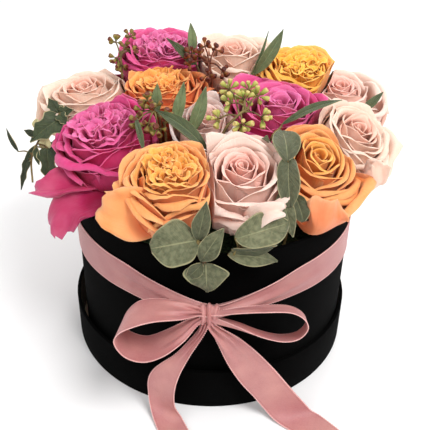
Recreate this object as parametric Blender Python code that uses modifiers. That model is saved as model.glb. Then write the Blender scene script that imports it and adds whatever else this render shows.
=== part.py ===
"""Rose box: a round velvet hat box full of roses, standing in its own upturned lid.

Lengths are in millimetres and become metres where a mesh is made. The origin is on the box's
axis at the underside of the lid, +Z is up and the bow faces -Y.
"""
import math

import bmesh
import bpy
import numpy as np

MM = 0.001
PART = "rose_box"

# Driving dimensions of the box
BOX_RADIUS = 100.0
WALL = 2.4
RIM_HEIGHT = 126.9
LID_RADIUS = 105.0
LID_HEIGHT = 32.9
LID_WALL = 2.4
LID_SHIFT = -1.5
GAP = 0.3
LINER_WALL = 0.8
LINER_TOP = 122.0
FOAM_TOP = 104.0
TURN_STEPS = 40

# Driving dimensions of the flowers
STEM_RADIUS = 3.0
STEM_FOOT = 64.0
FOOT_REACH = 80.0
STEM_HOLE = 3.6
BLADE = 0.9
PRESS_SOFTNESS = 6.0
PRESS_GAP = 0.45
BLADE_GAP = 1.1

# Driving dimensions of the ribbon
RIBBON_WIDTH = 25.0
RIBBON = 0.9

COLOURS = {
    "velvet": ((0.012, 0.011, 0.012), 0.9),
    "board": ((0.80, 0.74, 0.62), 0.8),
    "film": ((0.75, 0.82, 0.70), 0.2),
    "foam": ((0.10, 0.22, 0.09), 0.95),
    "satin": ((0.72, 0.32, 0.33), 0.4),
    "pink": ((0.75, 0.04, 0.26), 0.6),
    "orange": ((0.93, 0.40, 0.13), 0.6),
    "yellow_orange": ((0.95, 0.45, 0.10), 0.6),
    "blush": ((0.90, 0.62, 0.52), 0.6),
    "stem": ((0.16, 0.26, 0.08), 0.6),
    "eucalyptus": ((0.20, 0.26, 0.16), 0.7),
    "seeded": ((0.28, 0.33, 0.08), 0.6),
    "willow": ((0.18, 0.27, 0.12), 0.6),
    "vine": ((0.10, 0.17, 0.07), 0.6),
}


def vec(*values):
    return np.array(values, dtype=float)


def unit(v):
    return v / np.linalg.norm(v)


# Scene, materials and meshes


def clear_scene():
    for thing in list(bpy.data.objects):
        bpy.data.objects.remove(thing, do_unlink=True)


def collection(name, hidden=False):
    made = bpy.data.collections.new(name)
    bpy.context.scene.collection.children.link(made)
    made.hide_render = hidden
    return made


def material(name):
    found = bpy.data.materials.get(name)
    if found:
        return found
    colour, roughness = COLOURS[name]
    made = bpy.data.materials.new(name)
    made.use_nodes = True
    shader = made.node_tree.nodes["Principled BSDF"]
    shader.inputs["Base Color"].default_value = (*colour, 1.0)
    shader.inputs["Roughness"].default_value = roughness
    shader.inputs["Metallic"].default_value = 0.0
    made.diffuse_color = (*colour, 1.0)
    return made


def place(name, mesh, finish, home):
    thing = bpy.data.objects.new(name, mesh)
    mesh.name = name
    mesh.materials.clear()
    mesh.materials.append(material(finish))
    home.objects.link(thing)
    return thing


def mesh_from(points, faces):
    """A mesh in metres from points in millimetres, with every face a triangle."""
    mesh = bpy.data.meshes.new("solid")
    work = bmesh.new()
    verts = [work.verts.new(tuple(np.asarray(p) * MM)) for p in points]
    for face in faces:
        work.faces.new([verts[i] for i in face])
    bmesh.ops.triangulate(work, faces=[f for f in work.faces if len(f.verts) > 3])
    bmesh.ops.recalc_face_normals(work, faces=work.faces)
    if work.calc_volume(signed=True) < 0:
        bmesh.ops.reverse_faces(work, faces=work.faces)
    work.to_mesh(mesh)
    work.free()
    mesh.shade_smooth()
    mesh.set_sharp_from_angle(angle=math.radians(40))
    return mesh


def ringed_solid(first, rings, last):
    """A closed skin over rings of equal length, drawn together to a point at each end."""
    columns = len(rings[0])
    points = [first] + [p for ring in rings for p in ring] + [last]
    faces = []
    for j in range(columns):
        k = (j + 1) % columns
        faces.append((0, 1 + k, 1 + j))
        for i in range(len(rings) - 1):
            low = 1 + i * columns
            high = low + columns
            faces.append((low + j, low + k, high + k))
            faces.append((low + j, high + k, high + j))
        top = 1 + (len(rings) - 1) * columns
        faces.append((top + j, top + k, len(points) - 1))
    return mesh_from(points, faces)


def blade_solid(grid, thickness=BLADE):
    """A thin closed blade round a grid of points, split into triangles alike on both faces."""
    grid = np.asarray(grid, dtype=float)
    rows, columns = grid.shape[:2]
    along = np.gradient(grid, axis=0)
    across = np.gradient(grid, axis=1)
    normal = np.cross(along, across)
    normal /= np.maximum(np.linalg.norm(normal, axis=2, keepdims=True), 1e-9)
    points = list((grid + normal * thickness / 2).reshape(-1, 3))
    points += list((grid - normal * thickness / 2).reshape(-1, 3))
    under = rows * columns
    faces = []
    for i in range(rows - 1):
        for j in range(columns - 1):
            a = i * columns + j
            b = a + 1
            c = a + columns + 1
            d = a + columns
            faces += [(a, b, c), (a, c, d)]
            faces += [(under + c, under + b, under + a), (under + d, under + c, under + a)]
    edge = list(range(columns))
    edge += [i * columns + columns - 1 for i in range(1, rows)]
    edge += [(rows - 1) * columns + j for j in range(columns - 2, -1, -1)]
    edge += [i * columns for i in range(rows - 2, 0, -1)]
    for a, b in zip(edge, edge[1:] + edge[:1]):
        faces += [(b, a, under + a), (b, under + a, under + b)]
    return mesh_from(points, faces)


def tube_solid(route, radius, sides=6):
    """A closed round tube along a route, from a bevelled curve."""
    curve = bpy.data.curves.new("tube", "CURVE")
    curve.dimensions = "3D"
    curve.bevel_depth = radius * MM
    curve.bevel_resolution = (sides - 4) // 2
    curve.use_fill_caps = True
    spline = curve.splines.new("POLY")
    spline.points.add(len(route) - 1)
    for point, place_at in zip(spline.points, route):
        point.co = (*(np.asarray(place_at) * MM), 1.0)
    holder = bpy.data.objects.new("tube", curve)
    bpy.context.scene.collection.objects.link(holder)
    graph = bpy.context.evaluated_depsgraph_get()
    mesh = bpy.data.meshes.new_from_object(holder.evaluated_get(graph))
    work = bmesh.new()
    work.from_mesh(mesh)
    bmesh.ops.remove_doubles(work, verts=work.verts, dist=0.00001)
    bmesh.ops.triangulate(work, faces=work.faces)
    bmesh.ops.recalc_face_normals(work, faces=work.faces)
    work.to_mesh(mesh)
    work.free()
    bpy.data.objects.remove(holder, do_unlink=True)
    return mesh


def outer_skin(mesh):
    """Keeps a mesh's largest body, and drops the scraps and sealed hollows a union leaves."""
    work = bmesh.new()
    work.from_mesh(mesh)
    unseen = set(work.faces)
    bodies = []
    while unseen:
        start = unseen.pop()
        body = [start]
        queue = [start]
        while queue:
            face = queue.pop()
            for edge in face.edges:
                for other in edge.link_faces:
                    if other in unseen:
                        unseen.remove(other)
                        body.append(other)
                        queue.append(other)
        bodies.append(body)
    bodies.sort(key=lambda body: sum(face.calc_area() for face in body))
    for body in bodies[:-1]:
        bmesh.ops.delete(work, geom=body, context="FACES")
    work.to_mesh(mesh)
    work.free()
    return mesh


def fused(meshes, solver="MANIFOLD"):
    """One mesh from many: a Boolean union of the first with a collection of the others.

    The exact solver leaves slivers where a petal or leaf only grazes another, so it isn't used.
    """
    if len(meshes) == 1:
        return meshes[0]
    others = collection("fused_pieces", hidden=True)
    for index, mesh in enumerate(meshes[1:]):
        piece = bpy.data.objects.new(f"piece_{index}", mesh)
        piece.hide_render = True
        piece.display_type = "WIRE"
        others.objects.link(piece)
    base = bpy.data.objects.new("base", meshes[0])
    bpy.context.scene.collection.objects.link(base)
    join = base.modifiers.new("join", "BOOLEAN")
    join.operation = "UNION"
    join.operand_type = "COLLECTION"
    join.collection = others
    join.solver = solver
    graph = bpy.context.evaluated_depsgraph_get()
    mesh = outer_skin(bpy.data.meshes.new_from_object(base.evaluated_get(graph)))
    for piece in list(others.objects):
        bpy.data.objects.remove(piece, do_unlink=True)
    bpy.data.collections.remove(others)
    bpy.data.objects.remove(base, do_unlink=True)
    mesh.shade_smooth()
    mesh.set_sharp_from_angle(angle=math.radians(40))
    return mesh


def turned(name, profile, finish, home, steps=TURN_STEPS):
    """A solid of revolution: the profile runs down its outer side, from axis to axis."""
    mesh = bpy.data.meshes.new(name)
    work = bmesh.new()
    verts = [work.verts.new((radius * MM, 0.0, height * MM)) for radius, height in profile]
    for a, b in zip(verts, verts[1:]):
        work.edges.new((a, b))
    if profile[0][0] > 0:
        work.edges.new((verts[-1], verts[0]))
    work.to_mesh(mesh)
    work.free()
    thing = place(name, mesh, finish, home)
    screw = thing.modifiers.new("turn", "SCREW")
    screw.steps = steps
    screw.render_steps = steps
    screw.use_merge_vertices = True
    screw.merge_threshold = 0.00001
    screw.use_smooth_shade = True
    return thing


# The box


def make_lid(home):
    inner = LID_RADIUS - LID_WALL
    profile = [(0, LID_WALL), (inner, LID_WALL), (inner, LID_HEIGHT)]
    profile += [(LID_RADIUS, LID_HEIGHT), (LID_RADIUS, 0), (0, 0)]
    lid = turned("lid", profile, "velvet", home)
    lid.location.x = LID_SHIFT * MM


def box_floor():
    return LID_WALL + GAP


def make_wall(home):
    inner = BOX_RADIUS - WALL
    profile = [(inner, RIM_HEIGHT), (BOX_RADIUS, RIM_HEIGHT)]
    profile += [(BOX_RADIUS, box_floor()), (inner, box_floor())]
    turned("box_wall", profile, "velvet", home)


def make_base(home):
    radius = BOX_RADIUS - WALL - GAP
    top = box_floor() + WALL
    profile = [(0, top), (radius, top), (radius, box_floor()), (0, box_floor())]
    turned("box_base", profile, "board", home)
    return top


def make_liner(home, base_top):
    outer = BOX_RADIUS - WALL - GAP
    inner = outer - LINER_WALL
    bottom = base_top + GAP
    profile = [(0, bottom + LINER_WALL), (inner, bottom + LINER_WALL), (inner, LINER_TOP)]
    profile += [(outer, LINER_TOP), (outer, bottom), (0, bottom)]
    turned("liner", profile, "film", home)
    return inner, bottom + LINER_WALL


def make_foam(home, inner, bottom, holes):
    """The wet foam block, with a plain hole for each stem."""
    radius = inner - GAP
    low = bottom + GAP
    work = bmesh.new()
    bmesh.ops.create_cone(
        work, cap_ends=True, segments=TURN_STEPS, radius1=radius * MM, radius2=radius * MM,
        depth=(FOAM_TOP - low) * MM)
    bmesh.ops.translate(work, verts=work.verts, vec=(0, 0, (FOAM_TOP + low) / 2 * MM))
    mesh = bpy.data.meshes.new("foam")
    work.to_mesh(mesh)
    work.free()
    foam = place("foam", mesh, "foam", home)
    cutters = collection("foam_cutters", hidden=True)
    for index, (x, y, foot, hole, sides) in enumerate(holes):
        work = bmesh.new()
        depth = FOAM_TOP + 5 - (foot - GAP)
        bmesh.ops.create_cone(
            work, cap_ends=True, segments=sides, radius1=hole * MM, radius2=hole * MM,
            depth=depth * MM)
        bmesh.ops.translate(
            work, verts=work.verts, vec=(x * MM, y * MM, (foot - GAP + depth / 2) * MM))
        cut_mesh = bpy.data.meshes.new(f"hole_{index}")
        work.to_mesh(cut_mesh)
        work.free()
        cutter = bpy.data.objects.new(f"hole_{index}", cut_mesh)
        cutter.hide_render = True
        cutter.display_type = "WIRE"
        cutters.objects.link(cutter)
    cut = foam.modifiers.new("stem_holes", "BOOLEAN")
    cut.operation = "DIFFERENCE"
    cut.operand_type = "COLLECTION"
    cut.collection = cutters
    cut.solver = "EXACT"


# Roses

# Each layer of the cup, from the outside in: petals, lip radius and height as shares of the
# cup's, dip between petals, and phase in petals
COLUMNS = 15
CUP_LAYERS = [
    (5, 1.14, 0.66, 0.20, 0.0),
    (5, 1.02, 0.88, 0.14, 0.5),
    (5, 0.80, 0.98, 0.10, 0.2),
    (3, 0.58, 1.00, 0.07, 0.0),
    (3, 0.36, 0.98, 0.06, 0.5),
    (3, 0.17, 0.94, 0.04, 0.2),
]

# The same for a small or half hidden bloom, which has fewer petals
SMALL_COLUMNS = 12
SMALL_LAYERS = [
    (4, 1.12, 0.68, 0.20, 0.0),
    (4, 0.98, 0.90, 0.14, 0.5),
    (4, 0.74, 0.99, 0.10, 0.2),
    (3, 0.48, 1.00, 0.07, 0.0),
    (3, 0.22, 0.95, 0.05, 0.5),
]


class Rose:
    """One bloom: the centre of its cup's mouth, its cup, its lean and its drooping petals."""

    def __init__(self, name, finish, mouth, radius, height, lean, heading, flare=1.0, guards=(),
                 small=False, foot_reach=FOOT_REACH):
        self.name = name
        self.foot_reach = foot_reach
        self.layers = SMALL_LAYERS if small else CUP_LAYERS
        self.columns = SMALL_COLUMNS if small else COLUMNS
        self.finish = finish
        self.radius = radius
        self.height = height
        self.flare = flare
        self.guards = guards
        lean = math.radians(lean)
        heading = math.radians(heading)
        out = vec(math.cos(heading), math.sin(heading), 0)
        self.axis = math.sin(lean) * out + vec(0, 0, math.cos(lean))
        self.base = vec(*mouth) - self.axis * height
        self.core = self.base + self.axis * height * 0.62
        self.side = unit(np.cross(vec(0, 1, 0), self.axis))
        self.front = np.cross(self.axis, self.side)

    def at(self, angle, radius, height):
        round_axis = self.side * math.cos(angle) + self.front * math.sin(angle)
        return self.base + round_axis * radius + self.axis * height


# Cup mouth centre, cup radius and height, lean and heading in degrees, flare of the outer layer,
# and guard petals as (heading, reach, drop, width)
ROSES = [
    Rose("rose_pink_left", "pink", (-78, -8, 163), 31, 46, 23, 200, 1.15,
         [(205, 62, 26, 44), (255, 54, 24, 40)]),
    Rose("rose_pink_back", "pink", (-46, 82, 195), 28, 46, 6, 270, 1.15, foot_reach=66),
    Rose("rose_pink_right", "pink", (42, 14, 177), 32, 46, 8, 280, 1.15),
    Rose("rose_orange_left", "orange", (-28, -72, 165), 26, 46, 20, 265, 1.35,
         [(205, 52, 18, 38), (258, 46, 20, 34)]),
    Rose("rose_orange_back", "orange", (-37, 40, 179), 29, 44, 5, 250, 1.15),
    Rose("rose_yellow_back", "yellow_orange", (63, 58, 189), 26, 44, 16, 285, 1.15, foot_reach=62),
    Rose("rose_orange_right", "orange", (69, -41, 165), 25, 46, 20, 315, 1.2,
         [(290, 50, 20, 38), (347, 46, 15, 34)]),
    Rose("rose_blush_left", "blush", (-98, 46, 173.5), 27, 42, 22, 160, 1.15),
    Rose("rose_blush_front", "blush", (18, -65, 165), 25, 44, 17, 275, 1.3,
         [(235, 40, 8, 36), (305, 35, 8, 33)]),
    Rose("rose_cream_back", "blush", (12, 80, 190), 24, 46, 8, 270, 1.15, small=True, foot_reach=64),
    Rose("rose_blush_back", "blush", (98, 52, 176.5), 22, 42, 18, 20, 1.15, small=True),
    Rose("rose_blush_right", "blush", (98, -8, 168), 26, 44, 25, 345, 1.2,
         [(305, 46, 16, 36), (355, 46, 12, 38)]),
    Rose("rose_blush_centre", "blush", (-6, 6, 163), 20, 38, 5, 270, 1.3, small=True),
]

# Three more roses hang over the rim at the back: name, heading in degrees and colour
BACK_ROSES = [("rose_rear_right", 65, "orange"), ("rose_rear_middle", 99, "blush"),
              ("rose_rear_left", 131, "pink")]
BACK_REACH = 124.0
BACK_HEIGHT = 151.0
BACK_LEAN = 55.0
BACK_RADIUS = 24.0
BACK_CUP = 34.0
for back_name, back_heading, back_finish in BACK_ROSES:
    back_turn = math.radians(back_heading)
    back_mouth = (BACK_REACH * math.cos(back_turn), BACK_REACH * math.sin(back_turn), BACK_HEIGHT)
    ROSES.append(Rose(back_name, back_finish, back_mouth, BACK_RADIUS, BACK_CUP, BACK_LEAN,
                      back_heading, small=True, foot_reach=86))


# How far petals and sepals pass over the rim, and the reach over which they rise to it
PETAL_CLEARANCE = 2.0
SEPAL_CLEARANCE = 1.6
RIM_ZONE = (84.0, 108.0)


def pressed(point, rose, margin, clearance=PETAL_CLEARANCE):
    """Where a point of a rose lies once its neighbours press on it: short of the plane between."""
    point = np.array(point, dtype=float)
    for _ in range(3):
        for other in ROSES:
            if other is rose:
                continue
            towards = other.core - rose.core
            distance = np.linalg.norm(towards)
            towards = towards / distance
            wall = distance * rose.radius / (rose.radius + other.radius) - margin
            room = wall - (point - rose.core) @ towards
            if room < PRESS_SOFTNESS:
                kept = PRESS_SOFTNESS * math.exp(room / PRESS_SOFTNESS - 1)
                point -= towards * (kept - room)
    return over_rim(point, clearance)


def over_rim(point, clearance):
    """Lifts a point over the box's rim, which a petal passes without touching."""
    reach = math.hypot(point[0], point[1])
    lowest = RIM_HEIGHT + clearance
    if reach < RIM_ZONE[0]:
        lowest -= (RIM_ZONE[0] - reach) * 1.2
    if reach > RIM_ZONE[1]:
        lowest -= (reach - RIM_ZONE[1]) * 1.6
    point[2] = max(point[2], lowest)
    return point


def petal_lift(petals, phase, angle):
    """How far round its petal an angle is, and how high the lip stands there, from 0 to 1."""
    turn = (petals * angle / (2 * math.pi) - phase) % 1.0
    return turn, 1 - abs(2 * turn - 1) ** 2.2


def cup_solid(rose):
    """The cup of overlapping petals, one layer inside the next, as one closed skin."""
    angles = [2 * math.pi * j / rose.columns for j in range(rose.columns)]
    radius = rose.radius
    height = rose.height
    rings = []
    for share, level in ((0.28, 0.03), (0.86, 0.30)):
        rings.append([rose.at(a, radius * share, height * level) for a in angles])
    for index, (petals, lip, level, dip, phase) in enumerate(rose.layers):
        spread = rose.flare if index == 0 else 1.0
        edge = []
        groove = []
        for a in angles:
            turn, lift = petal_lift(petals, phase, a)
            out = radius * lip * spread * (1 - 0.10 * (1 - lift)) + radius * 0.05 * (0.5 - turn)
            up = height * (level - dip * (1 - lift))
            edge.append(rose.at(a, out, up))
            groove.append(rose.at(a, out * 0.86 - radius * 0.03 * spread, up - height * 0.11))
        rings.append(edge)
        if index < len(rose.layers) - 1:
            rings.append(groove)
    rings = [[pressed(p, rose, PRESS_GAP) for p in ring] for ring in rings]
    first = pressed(rose.at(0, 0, 0), rose, PRESS_GAP)
    last = rose.at(0, 0, height * 0.86)
    return ringed_solid(first, rings, last)


def guard_solid(rose, heading, reach, drop, width):
    """An outer petal that leans out of the cup and droops, its root sunk into the cup."""
    angle = math.radians(heading)
    out = unit(vec(math.cos(angle), math.sin(angle), 0))
    across = np.cross(vec(0, 0, 1), out)
    root = rose.base + rose.axis * rose.height * 0.34 + out * rose.radius * 0.45
    rows = []
    for v in (0.0, 0.4, 0.8, 1.0):
        centre = root + out * reach * math.sin(v * 1.45) * 0.72
        centre = centre + vec(0, 0, 9 * math.sin(v * math.pi) - drop * v * v)
        half = width / 2 * (0.42 + 0.58 * math.sin(min(v * 2.6, math.pi / 2)))
        half *= 1.0 if v < 0.9 else 0.62
        row = []
        for u in (-1.0, 0.0, 1.0):
            cupped = -0.16 * width * u * u * (1 - 0.5 * v)
            p = centre + across * half * u + out * cupped + vec(0, 0, 2.5 * u * u * v)
            row.append(pressed(p, rose, BLADE_GAP))
        rows.append(row)
    return blade_solid(rows)


def stem_route(rose):
    """The stem's foot in the foam, the point where it leaves the foam, and its top."""
    top = rose.base - rose.axis * (GAP + 0.6)
    reach = math.hypot(top[0], top[1])
    share = min(1.0, rose.foot_reach / reach)
    foot = vec(top[0] * share, top[1] * share, STEM_FOOT)
    leaves = vec(foot[0], foot[1], FOAM_TOP + 2)
    return foot, leaves, top


def stem_solid(rose):
    """The stem, its swollen hip and five sepals, turned down under the cup."""
    foot, leaves, top = stem_route(rose)
    upright = vec(0, 0, 1)
    rows = [
        (foot, upright, STEM_RADIUS, STEM_RADIUS, 0.0),
        (leaves, upright, STEM_RADIUS, STEM_RADIUS, 0.0),
        (top - rose.axis * 4.0, rose.axis, STEM_RADIUS + 0.8, STEM_RADIUS + 0.8, 0.0),
        (top - rose.axis * 0.8, rose.axis, 15.0, 5.2, -2.2),
        (top, rose.axis, 3.6, 3.6, 0.0),
    ]
    rings = []
    for centre, axis, tip, valley, droop in rows:
        side = unit(np.cross(vec(0, 1, 0), axis))
        front = np.cross(axis, side)
        ring = []
        for j in range(10):
            a = 2 * math.pi * j / 10
            out = tip if j % 2 == 0 else valley
            fall = droop if j % 2 == 0 else 0.0
            p = centre + (side * math.cos(a) + front * math.sin(a)) * out + axis * fall
            ring.append(pressed(p, rose, PRESS_GAP, SEPAL_CLEARANCE) if droop else p)
        rings.append(ring)
    return ringed_solid(foot, rings, top)


def make_roses(home):
    holes = []
    for rose in ROSES:
        solids = [cup_solid(rose)]
        solids += [guard_solid(rose, *guard) for guard in rose.guards]
        place(rose.name, fused(solids), rose.finish, home)
        place(rose.name + "_stem", stem_solid(rose), "stem", home)
        foot = stem_route(rose)[0]
        holes.append((foot[0], foot[1], STEM_FOOT, STEM_HOLE, 8))
    return holes


# Foliage


def leaf_width(v, kind):
    """Half the width of a leaf as a share of its widest, from its stalk to its tip."""
    if kind == "round":
        return max(0.10, math.sin(math.pi * min(v, 0.97)) ** 0.55)
    if kind == "heart":
        return max(0.06, (1 - v) ** 0.62 * min(1.0, v * 5.5 + 0.25))
    return max(0.10, math.sin(math.pi * min(v, 0.97) ** 0.85))


LEAF_STOPS = {
    "round": (0.0, 0.16, 0.50, 0.84, 1.0),
    "heart": (0.0, 0.10, 0.35, 0.70, 1.0),
    "long": (0.0, 0.30, 0.68, 1.0),
}


def leaf_solid(stalk, tip, width, face, kind="long", fold=0.18, arch=0.10):
    """A leaf from stalk to tip, folded along its rib and arched towards its tip."""
    stalk = vec(*stalk)
    tip = vec(*tip)
    along = tip - stalk
    length = np.linalg.norm(along)
    along = along / length
    face = vec(*face)
    across = unit(np.cross(along, face))
    normal = np.cross(across, along)
    rows = []
    for v in LEAF_STOPS[kind]:
        half = width / 2 * leaf_width(v, kind)
        rise = arch * length * math.sin(math.pi * v)
        spine = stalk + along * length * v + normal * rise
        rows.append([spine + across * half * u + normal * fold * half * abs(u)
                     for u in (-1.0, 0.0, 1.0)])
    return blade_solid(rows)


def capsule_solid(stalk, direction, size):
    """A seed capsule: a small urn, widest above its middle."""
    direction = unit(vec(*direction))
    side = unit(np.cross(direction, vec(0.3, 1, 0.2)))
    front = np.cross(direction, side)
    ring = []
    for j in range(5):
        a = 2 * math.pi * j / 5
        round_axis = side * math.cos(a) + front * math.sin(a)
        ring.append(vec(*stalk) + (round_axis * 0.44 + direction * 0.8) * size)
    last = vec(*stalk) + direction * size * 1.4
    return ringed_solid(vec(*stalk) - direction * 0.4, [ring], last)


def seeded_solid(stem, tips, size, rng):
    """A stalk with side stalks, each ending in two or three seed capsules."""
    solids = [tube_solid(stem, 1.1)]
    hub = vec(*stem[-2])
    end = vec(*stem[-1])
    for index, tip in enumerate(tips):
        tip = vec(*tip)
        share = (index + 0.5) / len(tips)
        start = hub + (end - hub) * share
        solids.append(tube_solid([start, tip], 0.7, 4))
        away = unit(tip - start)
        for share in (1.0, 0.5):
            lean = vec(rng.uniform(-0.5, 0.5), rng.uniform(-0.5, 0.5), rng.uniform(0.3, 0.8))
            at = start + (tip - start) * share
            solids.append(capsule_solid(at, away * share + lean, size))
    return fused(solids)


SPRIG_RADIUS = 1.1
SPRIG_HOLE = 1.7

# Each sprig: name, finish, route of its stem from its foot in the foam, and its leaves as
# (stalk, tip, width, facing, kind)
UP_FRONT = (0.0, -0.8, 0.6)
FRONT = (0.0, -1.0, 0.15)
SPRIGS = [
    ("eucalyptus_front_left", "eucalyptus",
     [(-5, -90, 66), (-5, -90, 112), (-5, -93, 125), (-5, -98, 131), (-9, -105, 140),
      (-7, -107, 134), (-5, -107, 122)],
     [((-9, -105, 140), (-36, -111, 138), 28, UP_FRONT, "round"),
      ((-9, -105, 139), (-4, -104, 165), 13, UP_FRONT, "long"),
      ((-8, -106, 137), (3, -111, 120), 19, UP_FRONT, "long"),
      ((-5, -107, 122), (-2, -105, 103), 27, FRONT, "heart")]),
    ("eucalyptus_front_right", "eucalyptus",
     [(24, -86, 66), (24, -86, 112), (24, -90, 124), (22, -98, 132), (15, -106, 137),
      (12, -107, 131)],
     [((15, -106, 137), (46, -99, 148), 24, UP_FRONT, "round"),
      ((12, -107, 131), (38, -104, 129), 14, (0.0, -0.5, 0.85), "long")]),
    ("eucalyptus_right", "eucalyptus",
     [(46, -70, 66), (46, -70, 112), (49, -73, 138), (49, -71, 158), (47, -56, 172),
      (47, -48, 174)],
     [((47, -50, 173), (47, -24, 178), 15, (0.1, -0.6, 0.8), "long"),
      ((47.8, -62, 166.4), (52, -84, 153), 13, (-0.5, -0.6, 0.6), "round"),
      ((49, -72.2, 146), (59, -87, 139), 10, (0.1, -0.9, 0.4), "round"),
      ((49, -71, 158), (38, -93, 139), 10, UP_FRONT, "long")]),
    ("willow_left", "willow",
     [(-38.5, -2, 66), (-38.5, -2, 112), (-38.5, -2, 168), (-41, 4, 174)],
     [((-41, 3, 173), (-42, 14, 191), 7, (0.0, -0.9, 0.4), "long")]),
    ("willow_front_left", "willow",
     [(-48, -38, 66), (-48, -38, 112), (-48, -42, 160), (-45, -50, 171)],
     [((-45, -49, 170), (-53, -20, 181), 5, (0.0, -0.6, 0.8), "long")]),
    ("willow_centre", "willow",
     [(-13, -30, 66), (-13, -30, 112), (-13, -26, 160), (-16, -18, 172)],
     [((-16, -19, 171), (-22, 4, 195), 10, (0.1, -0.9, 0.4), "long"),
      ((-14, -22, 168), (-6, 4, 192), 12, (0.2, -0.9, 0.4), "long"),
      ((-13, -26, 160), (-2, -44, 172), 8, UP_FRONT, "long")]),
    ("willow_back", "willow",
     [(22, 50, 66), (22, 50, 112), (24, 50, 176), (28, 50, 186)],
     [((28, 50, 185), (50, 68, 214), 17, (0.4, -0.9, 0.3), "long"),
      ((25, 50, 182), (38, 66, 213), 5, (0.3, -0.9, 0.3), "long")]),
    ("willow_back_left", "willow",
     [(-10, 56, 66), (-10, 56, 112), (-11, 60, 170), (-18, 70, 192)],
     [((-18, 70, 191), (-21, 92, 210), 8, (0.1, -0.8, 0.6), "long"),
      ((-15.5, 66.4, 184), (-36, 66, 205), 8, (0.2, -0.8, 0.6), "long")]),
    ("willow_right", "willow",
     [(34, -28, 66), (34, -28, 112), (36, -27, 165), (44, -22, 177)],
     [((44, -22, 176), (86, 0, 187), 6, (-0.2, -0.6, 0.8), "long"),
      ((36, -27, 165), (30, -44, 178), 7, (0.0, -0.7, 0.7), "long")]),
    ("willow_far_right", "willow",
     [(80, 20, 66), (80, 20, 112), (92, 22, 150), (104, 21, 169)],
     [((103, 21, 168), (123, 38, 178), 8, (0.2, -0.8, 0.6), "long")]),
    ("eucalyptus_back", "eucalyptus",
     [(60, 58, 66), (60, 58, 112), (68, 66, 128), (76, 74, 134), (86, 84, 134), (92, 90, 126)],
     [((76, 74, 134), (99, 72, 140), 22, (0.6, 0.6, 0.6), "round"),
      ((86, 84, 134), (76, 104, 132), 24, (0.6, 0.6, 0.5), "round"),
      ((88, 86, 131), (106, 80, 122), 22, (0.7, 0.5, 0.4), "round"),
      ((92, 90, 126), (96, 94, 104), 20, (0.8, 0.6, 0.1), "round")]),
    ("vine_left", "vine",
     [(-76, 19, 66), (-76, 19, 112), (-84, 19, 127), (-97, 19, 134), (-112, 17, 147),
      (-119, 13, 158), (-127, 2, 148), (-131, -4, 138), (-130, -12, 124)],
     [((-118, 13.5, 157), (-106, 9, 172), 12, UP_FRONT, "long"),
      ((-119, 13, 158), (-124, 26, 168), 13, UP_FRONT, "long"),
      ((-121, 10, 155), (-138, 15, 153), 8, UP_FRONT, "long"),
      ((-123, 7, 153), (-118, -10, 152), 12, UP_FRONT, "long"),
      ((-127, 2, 148), (-115, -22, 143), 13, UP_FRONT, "long"),
      ((-131, -4, 138), (-143, -2, 146), 6, UP_FRONT, "long"),
      ((-130.4, -9, 130), (-137, -10, 117), 7, FRONT, "long")]),
]

# Each stalk of seed capsules: name, stem route and the ends of its side stalks
SEEDED = [
    ("seeds_centre",
     [(2, -28, 66), (2, -28, 112), (4, -28, 168), (14, -24, 184), (22, -18, 187)],
     [(2, -22, 183), (8, -12, 190), (17, -38, 184), (20, -6, 192), (31, -32, 184),
      (33, -8, 190), (37, -20, 187)]),
    ("seeds_back",
     [(-3, 46, 66), (-3, 46, 112), (-3, 46, 176), (-5, 49, 190), (-6, 51, 194)],
     [(-18, 50, 193), (-12, 60, 199), (4, 52, 197), (6, 62, 199), (-8, 42, 193)]),
    ("seeds_back_left",
     [(-72, 60, 66), (-72, 60, 112), (-72, 61, 170), (-73, 66, 188), (-73, 70, 194)],
     [(-74, 74, 201), (-79, 68, 193), (-66, 70, 199), (-70, 60, 192), (-64, 64, 190)]),
    ("seeds_left",
     [(-34, -13, 66), (-34, -13, 112), (-34, -13, 168), (-39, -14, 179), (-41, -15, 184)],
     [(-52, -10, 185), (-45, -5, 190), (-33, -22, 186), (-44, -28, 182)]),
]


def make_foliage(home):
    holes = []
    for name, finish, stem, leaves in SPRIGS:
        solids = [tube_solid(stem, SPRIG_RADIUS)]
        solids += [leaf_solid(*leaf) for leaf in leaves]
        place(name, fused(solids), finish, home)
        holes.append((stem[0][0], stem[0][1], stem[0][2], SPRIG_HOLE, 6))
    for index, (name, stem, tips) in enumerate(SEEDED):
        rng = np.random.default_rng(40 + index)
        place(name, seeded_solid(stem, tips, 4.2, rng), "seeded", home)
        holes.append((stem[0][0], stem[0][1], stem[0][2], SPRIG_HOLE, 6))
    return holes


# Ribbon


def ribbon_solid(middle, across, widths=None):
    """A ribbon along its middle line, with the direction of its width at each point."""
    rows = []
    for index, (point, wide) in enumerate(zip(middle, across)):
        width = RIBBON_WIDTH if widths is None else widths[index]
        wide = unit(vec(*wide))
        rows.append([vec(*point) + wide * width / 2 * u for u in (-1.0, 0.0, 1.0)])
    return blade_solid(rows, RIBBON)


BAND_STEPS = 40
BAND_OUT = BOX_RADIUS + GAP + RIBBON

# The band's middle height and width at angles from the bow, which it narrows towards
BAND_AT = [(0, 84, 9), (7, 88, 10), (17, 92, 15), (33, 97, 22), (60, 97, 25), (110, 95, 25),
           (180, 94, 25)]


def band_at(angle):
    """The band's lower and upper edge at an angle from the bow, in degrees."""
    stops = [stop for stop, _, _ in BAND_AT]
    middle = np.interp(abs(angle), stops, [m for _, m, _ in BAND_AT])
    width = np.interp(abs(angle), stops, [w for _, _, w in BAND_AT])
    return middle - width / 2, middle + width / 2


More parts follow.
